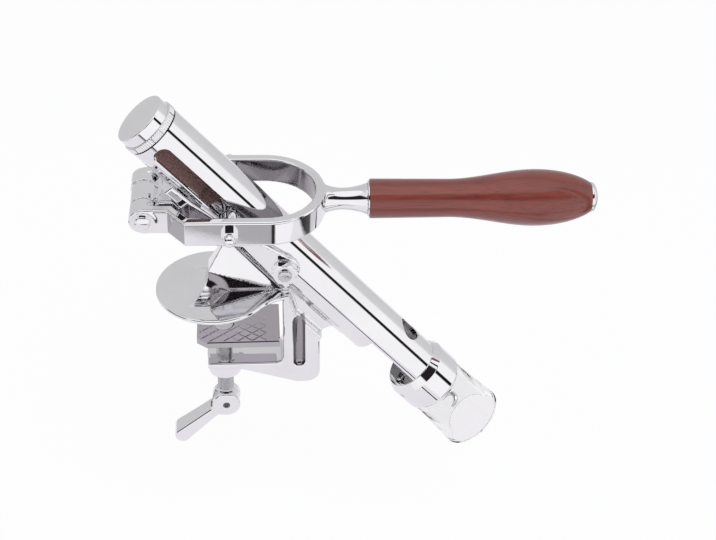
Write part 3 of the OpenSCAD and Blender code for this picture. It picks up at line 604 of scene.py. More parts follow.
def wood(looks):
    """Varnished reddish wood: long rings drawn along the grip, dark pores, and a clear coat."""
    material, shader, place, add, links = new_material("grip_wood")
    stretched = add("Mapping", {"Vector": place, "Scale": (9.0, 95.0, 95.0)})
    waves = {"Scale": 1.1, "Detail": 8.0, "Roughness": 0.62, "Distortion": 0.7}
    rings = add("TexNoise", {"Vector": stretched.outputs["Vector"], **waves})
    pores_at = add("Mapping", {"Vector": place, "Scale": (70.0, 1500.0, 1500.0)})
    pores = add("TexNoise", {"Vector": pores_at.outputs["Vector"], "Scale": 1.0, "Detail": 2.0})
    dark, light = tuple(looks.wood_dark), tuple(looks.wood_light)
    middle = tuple((a + b) / 2 for a, b in zip(dark, light))
    grain = ramp(add, rings.outputs["Fac"], [(0.3, dark), (0.5, middle), (0.68, light)])
    specks = ramp(add, pores.outputs["Fac"], [(0.36, 0.72), (0.5, 1.0)])
    links.new(blend(add, 1.0, grain, specks, blend_type="MULTIPLY"), shader.inputs["Base Color"])
    links.new(fade(add, rings.outputs["Fac"], 0, 1, 0.28, 0.4), shader.inputs["Roughness"])
    shader.inputs["Coat Weight"].default_value = 0.6
    shader.inputs["Coat Roughness"].default_value = 0.12
    links.new(bump(add, pores.outputs["Fac"], 0.1, 0.0002), shader.inputs["Normal"])
    return material


def clear_plastic():
    """Clear moulded plastic, a little cloudy, with faint flow lines."""
    material, shader, place, add, links = new_material("clear_bell")
    shader.inputs["Base Color"].default_value = (0.95, 0.957, 0.945, 1)
    shader.inputs["Transmission Weight"].default_value = 1.0
    shader.inputs["IOR"].default_value = 1.23
    flow = add("TexNoise", {"Vector": place, "Scale": 60.0, "Detail": 2.0})
    links.new(fade(add, flow.outputs["Fac"], 0, 1, 0.0, 0.03), shader.inputs["Roughness"])
    links.new(bump(add, flow.outputs["Fac"], 0.05, 0.0005), shader.inputs["Normal"])
    return material


_finishes = {}


def finish_named(name):
    """One material for each finish, made when first asked for."""
    if name not in _finishes:
        looks = bpy.context.scene.corkscrew_looks
        makers = {
            "chrome": lambda: metal("chrome_plate", looks.chrome, 0.025, 0.07, 0.02, 500.0, 0.01),
            "cast_chrome": lambda: metal("chrome_casting", looks.chrome, 0.035, 0.1, 0.03, 350.0, 0.03),
            "steel": lambda: metal("bright_steel", looks.steel, 0.12, 0.24, 0.05, 900.0),
            "bronze": lambda: metal("turned_bronze", looks.bronze, 0.22, 0.4, 0.08, 700.0),
            # brownish bore under the slots; the bore over the open underside takes the greyer open_bore
            "bore": lambda: metal("brown_bore", looks.bore, 0.16, 0.3, 0.1, 300.0, plated=0.0),
            "open_bore": lambda: metal("open_bore", looks.open_bore, 0.2, 0.35, 0.1, 300.0, plated=0.0),
            "bush": lambda: metal("guide_bush_nylon", looks.bush, 0.3, 0.45, 0.1, 300.0, plated=0.0),
            "pad": lambda: metal("pad_plate", looks.pad, 0.05, 0.12, 0.03, 400.0, 0.01),
            # painted shade: darker chrome standing for the dark that the ring's inside and the clamp's
            # hollows reflect
            "inner_wall": lambda: metal("painted_shade_wall", looks.inner_wall, 0.1, 0.2, 0.1, 250.0, 0.12),
            # painted shade: near black for the bottom of the pin holes
            "recess": lambda: metal("painted_pit_shade", looks.recess, 0.12, 0.25, 0.1, 250.0, 0.1),
            "wood": lambda: wood(looks),
            "clear": clear_plastic,
        }
        _finishes[name] = makers[name]()
    return _finishes[name]


def dress_nodes(finish, *nodes):
    """Gives a finish to CAD nodes that keep their own shape."""
    for node in nodes:
        slots = frame["nodes"][node].data.materials
        slots.clear()
        slots.append(finish_named(finish))


# ------------------------------------------------------------------ barrel


def arch(stations, start, end, width):
    """Half width of a slot with round ends at each station: a half circle at each end, straight between."""
    half = width / 2
    reach = np.clip(np.maximum(start + half - stations, stations - (end - half)), 0, half)
    inside = (stations >= start) & (stations <= end)
    return np.where(inside, np.sqrt(np.maximum(half**2 - reach**2, 0)), 0)


def opening_stations(start, end, width, count=14):
    """Stations that follow a slot's round ends: close together where the arc is steep."""
    half = width / 2
    bend = half * (1 - np.cos(np.linspace(0, np.pi / 2, count)))
    return np.concatenate([start + bend, end - bend])


class MakeBarrel(bpy.types.Operator):
    """Barrel tube with two side slots, a round window on top and an open underside."""

    bl_idname = "corkscrew.make_barrel"
    bl_label = "Barrel"

    start, end, cut = 10.8, 251.0, 134.0
    slot_from, window_at, window_width = 15.5, 219.0, 15.0

    def execute(self, context):
        sizes = context.scene.corkscrew_sizes
        edge = sizes.edge
        slot_to = FORK_PIN_AT + sizes.slot_width / 2 + 0.5
        slot = (self.slot_from, slot_to, sizes.slot_width)
        half = self.window_width / 2
        window = (self.window_at - half, self.window_at + half, self.window_width)
        stations = np.unique(
            np.concatenate([
                np.linspace(self.start + edge, self.cut, 34),
                np.linspace(self.cut, self.end, 30),
                opening_stations(*slot),
                opening_stations(self.slot_from - edge, slot_to + edge, sizes.slot_width + 2 * edge),
                opening_stations(*window),
                opening_stations(window[0] - edge, window[1] + edge, self.window_width + 2 * edge),
            ])
        )
        shell = Shell()
        for side in (1, -1):
            self.quarter(shell, stations, slot, window, side, sizes, top=True)
            self.quarter(shell, stations[stations <= self.cut + 1e-6], slot, window, side, sizes, top=False)
        shell.build("barrel_tube", "chrome bore open_bore", "frame", "barrel")
        return {"FINISHED"}

    def quarter(self, shell, stations, slot, window, side, sizes, top):
        """A quarter of the wall. Its angle runs from the window's edge, or the underside's middle line, to
        the slot's edge, or the cut edge, and each opening's edge lies where its half width meets the wall."""
        outer, inner, edge = sizes.tube_radius, sizes.bore_radius, sizes.edge
        grown = slot[0] - edge, slot[1] + edge, slot[2] + 2 * edge
        wide = window[0] - edge, window[1] + edge, window[2] + 2 * edge

        def bounds(radius, slot_hole, window_hole):
            far = np.pi / 2 - np.arcsin(arch(stations, *slot_hole) / radius)
            if top:
                near = np.arcsin(arch(stations, *window_hole) / radius)
            else:
                near, far = np.pi - far, np.full(len(stations), np.pi)
            return near, far

        def wall(near, far):
            return near[:, None] + (far - near)[:, None] * np.linspace(0, 1, 46)[None]

        def place(angle, radius, station):
            spoke = np.stack([np.zeros_like(angle), np.cos(angle), side * np.sin(angle)], -1)
            local = radius * spoke
            local[..., 0] = station
            return BARREL.point(local), BARREL.turn(spoke)

        lip = outer - edge
        radii = (outer, lip, inner)
        skin, rim, bore = bounds(outer, grown, wide), bounds(lip, slot, window), bounds(inner, slot, window)
        points, out = place(wall(*skin), outer, stations[:, None])
        shell.sheet(points, out)
        points, out = place(wall(*bore), inner, stations[:, None])
        closed_rows, open_rows = stations < self.cut + 1e-6, stations > self.cut - 1e-6
        shell.sheet(points[closed_rows], -out[closed_rows], slot=1)
        if top:
            shell.sheet(points[open_rows], -out[open_rows], slot=2)
        open_end = (self.cut, self.end)
        edges = [(0, -0.2, (grown, slot))]
        if top:
            edges = [(0, -0.2, (wide, window)), (1, 0.2, (grown, slot)), (1, 0.2, (open_end, open_end))]
        for end, tilt, spans in edges:
            rows = [place(bound[end], r, stations)[0] for bound, r in zip((skin, rim, bore), radii)]
            outward = place(rim[end] + tilt, lip, stations)[0] - rows[1]
            for step, span in enumerate(spans):
                keep = (stations > span[0] - 1e-6) & (stations < span[1] + 1e-6)
                pair = np.stack([rows[step][keep], rows[step + 1][keep]])
                band(shell, pair, outward[keep], closed=False)
        for index, facing in ((0, -DOWN), (-1, DOWN)):
            angle = wall(skin[0][index:][:1], skin[1][index:][:1])[0]
            rings = [place(angle, r, stations[index])[0] for r in radii]
            for first, second in zip(rings, rings[1:]):
                strip(shell, first, second, facing, closed=False)


class MakeCap(bpy.types.Operator):
    """End cap and its knurled ring."""

    bl_idname = "corkscrew.make_cap"
    bl_label = "End cap"

    height, knurl_end, spigot_end, roof, hollow = 6.5, 10.8, 14.8, 3.2, 9.0

    def execute(self, context):
        sizes = context.scene.corkscrew_sizes
        cap, bore = sizes.cap_radius, sizes.bore_radius
        shell = Shell()
        lathe(
            shell, CAP_FACE, DOWN,
            [(0, 0), (cap, 0), (cap, self.height), (bore, self.height), (bore, self.spigot_end),
             (self.hollow, self.spigot_end), (self.hollow, self.roof), (0, self.roof)],
            [0, 0.7, 0.25, 0, 0.3, 0.3, 0.5, 0], segments=128,
        )
        shell.build("end_cap_polished", "chrome", "frame", "end_cap")
        self.knurled_ring(sizes)
        return {"FINISHED"}

    def knurled_ring(self, sizes):
        """Its radius falls by the knurl's depth between teeth, and both rims are chamfered."""
        teeth, per_tooth = sizes.knurl_count, 6
        angle = np.linspace(0, 2 * np.pi, teeth * per_tooth, endpoint=False)
        wave = 0.5 - 0.5 * np.cos(angle * teeth)
        outer = sizes.tube_radius + 0.3
        heights = np.array([self.height, self.height + 0.4, self.knurl_end - 0.4, self.knurl_end])
        drop = np.array([0.75, 0.0, 0.0, 0.6])
        radius = outer - drop[:, None] - sizes.knurl_depth * wave[None] * (1 - drop[:, None])
        spoke = np.cos(angle)[:, None] * OVER + np.sin(angle)[:, None] * Y
        shell = Shell()
        grid = CAP_FACE + radius[..., None] * spoke + heights[:, None, None] * DOWN
        for row in range(3):
            band(shell, grid[row : row + 2], spoke)
        inside = CAP_FACE + sizes.bore_radius * spoke + heights[[0, 3], None, None] * DOWN
        strip(shell, grid[0], inside[0], -DOWN)
        strip(shell, grid[3], inside[1], DOWN)
        strip(shell, inside[0], inside[1], -spoke)
        shell.build("knurled_ring_polished", "chrome", "frame", "knurled_ring")


class MakeBell(bpy.types.Operator):
    """Collar, its set screw and the clear bell."""

    bl_idname = "corkscrew.make_bell"
    bl_label = "Collar and bell"

    collar_from, collar_to, collar_radius, shoulder = 241.0, 262.0, 20.0, 5.0
    rim_at, root_at, seat_depth, mouth_depth, shoulder_rise = 302.0, 251.4, 36.0, 8.0, 12.0
    root_radius, top_radius, rim_radius, bore, mouth = 17.0, 18.5, 20.6, 15.5, 17.1

    def execute(self, context):
        sizes = context.scene.corkscrew_sizes
        self.collar(sizes.tube_radius)
        self.set_screw()
        self.bell(sizes.bore_radius)
        return {"FINISHED"}

    def collar(self, tube):
        """The shoulder is a cone from the tube to the collar's side, with a broken edge."""
        start, end, radius = self.collar_from, self.collar_to, self.collar_radius
        front, side = (tube + 0.4, start), (radius, start + self.shoulder)
        corners = [(tube, start), front, side, (radius, end), (tube, end)]
        shell = Shell()
        lathe(shell, CAP_FACE, DOWN, corners, [0, 0.2, 1.2, 0.7, 0], segments=128, closed=True)
        shell.build("collar_polished", "chrome", "frame", "collar")

    def set_screw(self):
        """A headless screw with a round socket, flush in the collar's near lower side."""
        middle = node_middle("collar_screw")
        foot = CAP_FACE + DOWN * ((middle - CAP_FACE) @ DOWN)
        axis = unit(middle - foot)
        top, root, radius, socket = self.collar_radius + 0.12, self.collar_radius - 2.4, 1.7, 0.9
        shell = Shell()
        lathe(
            shell, foot, axis,
            [(0, root), (radius, root), (radius, top), (socket, top), (socket, top - 1.2), (0, top - 1.6)],
            [0, 0.1, 0.3, 0.05, 0, 0], segments=36,
        )
        shell.build("collar_screw_polished", "steel", "frame", "collar_screw", "bright_steel")

    def bell(self, root_bore):
        """Outside it widens from the collar to the rim, inside it has a step, a bore and a flared mouth."""
        root, top, rim = self.root_at, self.collar_to, self.rim_at
        outside = [
            (root_bore, root), (self.root_radius, root), (self.root_radius, top),
            (self.top_radius, top + 0.05), (self.top_radius + 0.2, top + self.shoulder_rise),
            (self.rim_radius, rim),
        ]
        inside = [
            (self.mouth, rim), (self.bore, rim - self.mouth_depth), (self.bore, rim - self.seat_depth),
            (root_bore, rim - self.seat_depth),
        ]
        radii = [0.1, 0.1, 0.1, 0.5, 8.0, 0.9, 0.9, 5.0, 1.0, 0.5]
        shell = Shell()
        lathe(shell, CAP_FACE, DOWN, outside + inside, radii, segments=128, closed=True)
        shell.build("bell_clear", "clear", "frame", "bell", "clear_bell")


# ------------------------------------------------------------------ inside the barrel


class MakeWorm(bpy.types.Operator):
    """Worm, its spindle and the carriage."""

    bl_idname = "corkscrew.make_worm"
    bl_label = "Worm and spindle"

    start, end, wire, reach = 224.0, 288.0, 1.5, 2.8
    spindle_from, spindle_radius, groove_from, groove_depth, groove_pitch = 67.2, 5.0, 96.0, 0.9, 10.4
    groove_count, thrust_collar, thrust_radius = 4, (90.75, 93.75), 8.5

    def execute(self, context):
        sizes = context.scene.corkscrew_sizes
        self.worm(sizes.worm_pitch)
        self.spindle()
        dress_nodes("steel", "carriage", "carriage_stem", "spindle_nut")
        dress_nodes("bronze", "thrust_washer", "drive_nut")
        dress_nodes("bush", "guide_bush")
        return {"FINISHED"}

    def worm(self, pitch):
        """A helix of constant radius that grows out of the shank in half a turn, and whose wire thins to a
        point over the last six tenths of a turn."""
        turns = (self.end - self.start) / pitch
        t = np.linspace(0.02, turns, 420)
        grow = ease(t / 0.5)
        angle = 2 * np.pi * t
        # the barrel's height axis and -Y follow each other right-handed down the barrel
        path = (
            CAP_FACE
            + (self.start + pitch * t)[:, None] * DOWN
            + (self.reach * grow * -np.cos(angle))[:, None] * OVER
            + (self.reach * grow * np.sin(angle))[:, None] * Y
        )
        left = np.clip((turns - t) / 0.6, 0, 1)
        shell = Shell()
        swept_wire(shell, path, self.wire * (0.1 + 0.9 * np.sqrt(left)), sides=20)
        lathe(
            shell, CAP_FACE, DOWN,
            [(0, self.start - 8), (2.5, self.start - 8), (2.5, self.start + 2), (0, self.start + 2)],
            [0, 0.2, 1.2, 0], segments=32,
        )
        shell.build("worm_polished", "steel", "spindle", "worm", "bright_steel")

    def spindle(self):
        """A shaft with four coarse grooves: its radius dips as the angle and the station turn together."""
        top, end = self.spindle_from, self.start
        stations = np.concatenate([[top], np.linspace(top + 0.5, end - 0.5, 260), [end]])
        angle = np.linspace(0, 2 * np.pi, 60, endpoint=False)
        turn = angle[None] * self.groove_count - 2 * np.pi * stations[:, None] / self.groove_pitch
        groove = np.clip((stations - self.groove_from) / 3, 0, 1) * np.clip((end - 4 - stations) / 3, 0, 1)
        radius = self.spindle_radius - self.groove_depth * groove[:, None] * (0.5 + 0.5 * np.cos(turn)) ** 2
        radius[[0, -1]] -= 0.5
        spoke = np.cos(angle)[:, None] * OVER - np.sin(angle)[:, None] * Y
        grid = CAP_FACE + radius[..., None] * spoke + stations[:, None, None] * DOWN
        shell = Shell()
        band(shell, grid, spoke)
        for row, facing in ((0, -DOWN), (-1, DOWN)):
            strip(shell, grid[row], CAP_FACE + stations[row] * DOWN, facing)
        inner, outer = self.spindle_radius, self.thrust_radius
        near, far = self.thrust_collar
        collar = [(inner, near), (outer, near), (outer, far), (inner, far)]
        lathe(shell, CAP_FACE, DOWN, collar, [0, 0.4, 0.4, 0], 64)
        shell.build("spindle_polished", "steel", "spindle", "spindle", "bright_steel")


# ------------------------------------------------------------------ link


class MakeLink(bpy.types.Operator):
    """Forked link with its two cheeks, bridge and knuckle, and the hinge pin."""

    bl_idname = "corkscrew.make_link"
    bl_label = "Link"

    cheek_in, cheek_out, end_radius = 18.0, 21.0, 9.0
    knuckle_radius, knuckle_half, eye_half, arm_in = 7.6, 8.7, 22.0, 15.6

    def execute(self, context):
        shell = Shell()
        low = (HINGE_AT - 12, HINGE_OVER - 11, -24)
        high = (LINK_PIN_AT + 12, 12, 24)
        moulded(shell, BARREL, self.field, low, high, 0.8)
        shell.build("link_forged", "chrome", "link", "link")
        self.pin()
        return {"FINISHED"}

    def cheek_outline(self, s, n):
        """A round end at the barrel's pivot, a dip under the carriage pin and a deep rear end."""
        at, over, fork = HINGE_AT, HINGE_OVER, FORK_PIN_AT
        dip = [(fork + 6.2 * np.sin(a), -6.2 * np.cos(a)) for a in np.radians([0, 14, 28, 42, 56])]
        flat = outline(s, n, [
            (at - 5.8, -8.5), (at + 10.2, -7.7), (fork - 8, -5.8), *dip,
            (LINK_PIN_AT - 29, 0.2), (LINK_PIN_AT - 20, 4.0), (LINK_PIN_AT - 5.2, 7.4), (LINK_PIN_AT, 9),
            (LINK_PIN_AT, -9), (LINK_PIN_AT - 28, -7.4),
            (fork, over + 10.4), (at + 19, over + 3), (at + 6, over + 19.4), (at - 5.8, over + 19.4),
        ])
        end = np.hypot(s - LINK_PIN_AT, n) - self.end_radius
        sweep = np.hypot(s - at, n - over) - 22.4
        return np.maximum(melt(flat, end, 1.5), -sweep)

    def bridge_outline(self, s, n):
        """The block below the tube that joins the cheeks."""
        at, over = HINGE_AT, HINGE_OVER
        return outline(s, n, [
            (at - 1, over + 13), (at + 3.5, -17.8), (at + 22, -17.8), (at + 27, over + 9),
            (at + 15, over + 1), (at + 4, over),
        ])

    def field(self, p):
        """Distance to the link in the barrel's place."""
        s, n, y = p[..., 0], p[..., 1], np.abs(p[..., 2])
        from_hinge = np.hypot(s - HINGE_AT, n - HINGE_OVER)
        bridge = self.bridge_outline(s, n)
        cheeks = thick(self.cheek_outline(s, n), y, self.cheek_in, self.cheek_out, 1.3)
        middle = thick(np.maximum(bridge, 8.7 - from_hinge), y, -self.arm_in, self.arm_in, 1.2)
        wide = thick(np.maximum(bridge, 22.4 - from_hinge), y, -self.cheek_out, self.cheek_out, 1.2)
        half = self.knuckle_half
        neck = block(np.stack([s - HINGE_AT, n - HINGE_OVER, y], -1), (-1, 2, -half), (12, 14, half), 1)
        knuckle = thick(from_hinge - self.knuckle_radius, y, -half, half, 0.8)
        body = melt(melt(cheeks, wide, 2.5), melt(middle, melt(neck, knuckle, 2), 2.5), 2)
        return carve(body, np.hypot(n, y) - 17.6, 0.6)

    def pin(self):
        """A shank with a low domed head at each end."""
        shell = Shell()
        half, head, rim = self.eye_half + 0.05, 4.5, 1.0
        for side in (1, -1):
            turned(shell, HINGE, side * Y, dome(head, half + rim, 1.5, 12), segments=48)
            lathe(shell, HINGE, side * Y, [(3.5, 0), (3.5, half), (head, half), (head, half + rim)], 0, 48)
        shell.build("hinge_pin_polished", "chrome", "link", "hinge_pin")


# ------------------------------------------------------------------ lever


class MakeLever(bpy.types.Operator):
    """Lever ring with its eyes and its neck, and the bolts of the carriage pin."""

    bl_idname = "corkscrew.make_lever"
    bl_label = "Lever ring"

    centre, height, eye_half, eye_radius, eye_in = 69.3, 16.0, 22.0, 7.9, 9.0
    ramp_from, ramp_to, ramp_shift = 14.1, 23.7, 2.24
    neck_length, neck_root, neck_waist, neck_end = 24.3, 8.2, 6.4, 9.4

    def execute(self, context):
        sizes = context.scene.corkscrew_sizes
        radius, wall = sizes.ring_radius, sizes.ring_wall
        self.radius, self.wall = radius, wall
        shell = Shell()
        end = self.centre + radius + self.neck_length
        low, high = (-10, -radius - 2, -11), (end + 1.5, radius + 2, 11)
        # the ring's inside takes the second material, which paints in shade
        moulded(shell, LEVER, self.field, low, high, 0.8, self.inner_wall)
        shell.build("lever_ring_cast", "chrome inner_wall", "lever", "lever_ring")
        self.bolts(radius, wall)
        return {"FINISHED"}

    def plan(self, u, y, half, eye, shift):
        """Distance to half a plan of the ring: straight arms that close in to the eyes, and a round end."""
        arms = outline(u, y, [
            (-2, -60), (self.centre, -60), (self.centre, half), (self.ramp_to + shift, half),
            (self.ramp_from + shift, eye), (-2, eye),
        ])
        return np.minimum(arms, np.hypot(u - self.centre, y) - half)

    def neck_radius(self, u):
        """The neck narrows on a quarter sine to its waist and widens on a parabola to the grip."""
        waist = 0.4 * self.neck_length
        t = u - self.centre - self.radius
        first = np.sin(np.pi / 2 * np.clip(t / waist, 0, 1))
        second = np.clip((t - waist) / (self.neck_length - waist), 0, 1.2) ** 2
        narrowed = self.neck_root + (self.neck_waist - self.neck_root) * first
        return narrowed + (self.neck_end - self.neck_waist) * second

    def field(self, p):
        """Distance to the casting in the lever's place."""
        u, y, w = p[..., 0], np.abs(p[..., 1]), p[..., 2]
        outer = self.plan(u, y, self.radius, self.eye_half, 0)
        inner = self.plan(u, y, self.radius - self.wall, self.eye_half - self.wall, self.ramp_shift)
        flat = np.maximum(np.maximum(outer, -inner), -u)
        ring = thick(flat, w, -self.height / 2, self.height / 2, 1.1)
        eye = thick(np.hypot(u, w) - self.eye_radius, y, self.eye_in, self.eye_half, 1.0)
        start = self.centre + self.radius
        neck = np.hypot(y, w) - self.neck_radius(u)
        neck = thick(neck, u, start - self.wall / 2, start + self.neck_length, 0.4)
        return melt(melt(ring, eye, 1.5), neck, 2.5)

    def inner_wall(self, p, normal):
        """True on the ring's inside, where shade is painted: the darker second material stands for the dark
        that the inside reflects.
        """
        u, y, w = p[..., 0], np.abs(p[..., 1]), p[..., 2]
        inner = self.plan(u, y, self.radius - self.wall, self.eye_half - self.wall, self.ramp_shift)
        return (np.abs(inner) < 0.6) & (u > 4) & (np.abs(normal[..., 2]) < 0.4)

    def bolts(self, radius, wall):
        """Each side has a boss inside the ring and an acorn nut outside."""
        shell, nuts = Shell(), Shell()
        inner, arm, flats_end, rim = 17.6, radius - wall, radius + 4.6, radius + 5.5
        for side in (1, -1):
            axis = side * Y
            boss = [(0, inner), (4.5, inner), (4.5, arm + 0.2), (0, arm + 0.2)]
            lathe(shell, FORK_PIN, axis, boss, [0, 0.7, 0, 0], 48)
            lathe(shell, FORK_PIN, axis, [(2.5, arm), (2.5, flats_end)], 0, 32)
            hex_nut(nuts, FORK_PIN, axis, radius, flats_end, 4.1, both=False)
            lathe(nuts, FORK_PIN, axis, [(3.7, flats_end - 0.3), (3.7, rim)], 0, 48)
            turned(nuts, FORK_PIN, axis, dome(3.7, rim, 3.5, 14, 0.8), segments=48)
        shell.build("carriage_bolts_polished", "chrome", "lever", "carriage_bolts")
        nuts.build("acorn_nuts_polished", "chrome", "lever", "acorn_nuts")


def hex_nut(shell, origin, axis, low, high, across, both=True, bore=0.0):
    """A hexagon nut: six flats whose outer edges follow a chamfer cone, the cones and the faces.

    across is half the width across flats. A flat's edge drops as its distance from the axis passes across.
    """
    axis = unit(axis)
    first = unit(np.cross(axis, X + 0.001))
    second = np.cross(axis, first)
    count = 12
    part = np.linspace(-np.pi / 6, np.pi / 6, count + 1)
    reach = across / np.cos(part)
    drop = (reach - across) * 0.6
    slant = unit([1.0, 0.6])
    for k in range(6):
        middle = k * np.pi / 3
        angle = middle + part
        spoke = np.cos(angle)[:, None] * first + np.sin(angle)[:, None] * second
        flat_out = np.cos(middle) * first + np.sin(middle) * second
        side = origin + reach[:, None] * spoke
        top = side + (high - drop)[:, None] * axis
        foot = side + ((low + drop) if both else np.full(count + 1, low))[:, None] * axis
        strip(shell, foot, top, flat_out, closed=False)
        inner = origin + across * 0.96 * spoke
        ring = inner + high * axis
        strip(shell, top, ring, slant[0] * axis + slant[1] * spoke, closed=False)
        strip(shell, ring, origin + bore * spoke + high * axis, axis, closed=False)
        foot_ring = (inner if both else side) + low * axis
        if both:
            strip(shell, foot, foot_ring, -slant[0] * axis + slant[1] * spoke, closed=False)
        strip(shell, foot_ring, origin + bore * spoke + low * axis, -axis, closed=False)
        if bore > 0:
            wall = origin + bore * spoke
            strip(shell, wall + low * axis, wall + high * axis, -spoke, closed=False)


class MakePivots(bpy.types.Operator):
    """Studs, washers and nuts of the link's pivot on the barrel."""

    bl_idname = "corkscrew.make_pivots"
    bl_label = "Link pivots"

    def execute(self, context):
        studs, washers, nuts = Shell(), Shell(), Shell()
        face, washer, nut, end = 21.05, 21.85, 26.45, 28.45
        for side in (1, -1):
            axis = side * Y
            lathe(studs, LINK_PIN, axis, [(0, 14.2), (4, 14.2), (4, end - 1.1)], [0, 0.2, 0], 48)
            turned(studs, LINK_PIN, axis, dome(4, end - 1.1, 1.1, 10, 0.7), segments=48)
            disc = [(4, face), (7.3, face), (7.3, washer), (4, washer)]
            lathe(washers, LINK_PIN, axis, disc, [0, 0.25, 0.25, 0], 64, closed=True)
            hex_nut(nuts, LINK_PIN, axis, washer, nut, 6.5, bore=4.0)
        studs.build("pivot_studs_polished", "steel", "frame", "pivot_studs", "bright_steel")
        washers.build("pivot_washers_polished", "chrome", "frame", "pivot_washers")
        nuts.build("pivot_nuts_polished", "chrome", "frame", "pivot_nuts")
        return {"FINISHED"}


class MakeHandle(bpy.types.Operator):
    """Bright ring, wooden grip, its rod and the domed end nut."""

    bl_idname = "corkscrew.make_handle"
    bl_label = "Handle"

    neck_end, ferrule, length = 127.9, 1.0, 128.5
    butt, waist, bulb, bulb_from, bulb_at, fade = 11.5, 11.1, 16.45, 46.0, 95.7, 38.5
    nut_radius, nut_height = 8.7, 4.1

    def radius(self, x):
        """A slight taper, a smooth swell to the bulb, and a quarter of an ellipse to the end."""
        swollen = ease((x - self.bulb_from) / (self.bulb_at - self.bulb_from))
        taper = self.butt + (self.waist - self.butt) * np.clip(x / self.bulb_from, 0, 1)
        swell = taper + (self.bulb - self.waist) * swollen
        end = self.bulb * np.sqrt(np.maximum(1 - ((x - self.bulb_at) / self.fade) ** 2, 0))
        return np.where(x < self.bulb_at, swell, end)

    def execute(self, context):
        start = self.neck_end + self.ferrule
        ring = Shell()
        disc = [(0, self.neck_end), (10.4, self.neck_end), (10.4, start), (0, start)]
        lathe(ring, HINGE, ALONG, disc, [0, 0.3, 0.3, 0], 96)
        ring.build("ferrule_polished", "chrome", "lever", "ferrule")
        grip = Shell()
        x = np.linspace(0.8, self.length, 150)
        r = self.radius(x)
        angle = np.linspace(-np.pi / 2, 0, 6, endpoint=False)
        edge = np.stack([r[0] - 0.8 + 0.8 * np.cos(angle), 0.8 + 0.8 * np.sin(angle)], -1)
        side = np.vstack([edge, np.stack([r, x], -1)])
        side[:, 1] += start
        turned(grip, HINGE, ALONG, side, segments=128)
        foot, end = start, start + self.length
        turned(grip, HINGE, ALONG, [(0, foot), (side[0, 0], foot)], np.array([(0, -1.0), (0, -1.0)]), 128)
        turned(grip, HINGE, ALONG, [(r[-1], end), (0, end)], np.array([(0, 1.0), (0, 1.0)]), 128)
        grip.build("grip_turned", "wood", "lever", "handle_grip", "grip_wood")
        nut = Shell()
        radius, rim = self.nut_radius, 0.8
        turned(nut, HINGE, ALONG, dome(radius, end + rim, self.nut_height - rim, 20), segments=96)
        lathe(nut, HINGE, ALONG, [(0, end), (radius, end), (radius, end + rim)], [0, 0.25, 0], 96)
        nut.build("handle_nut_polished", "chrome", "lever", "handle_nut")
        dress_nodes("steel", "handle_rod")
        return {"FINISHED"}


# ------------------------------------------------------------------ clamp


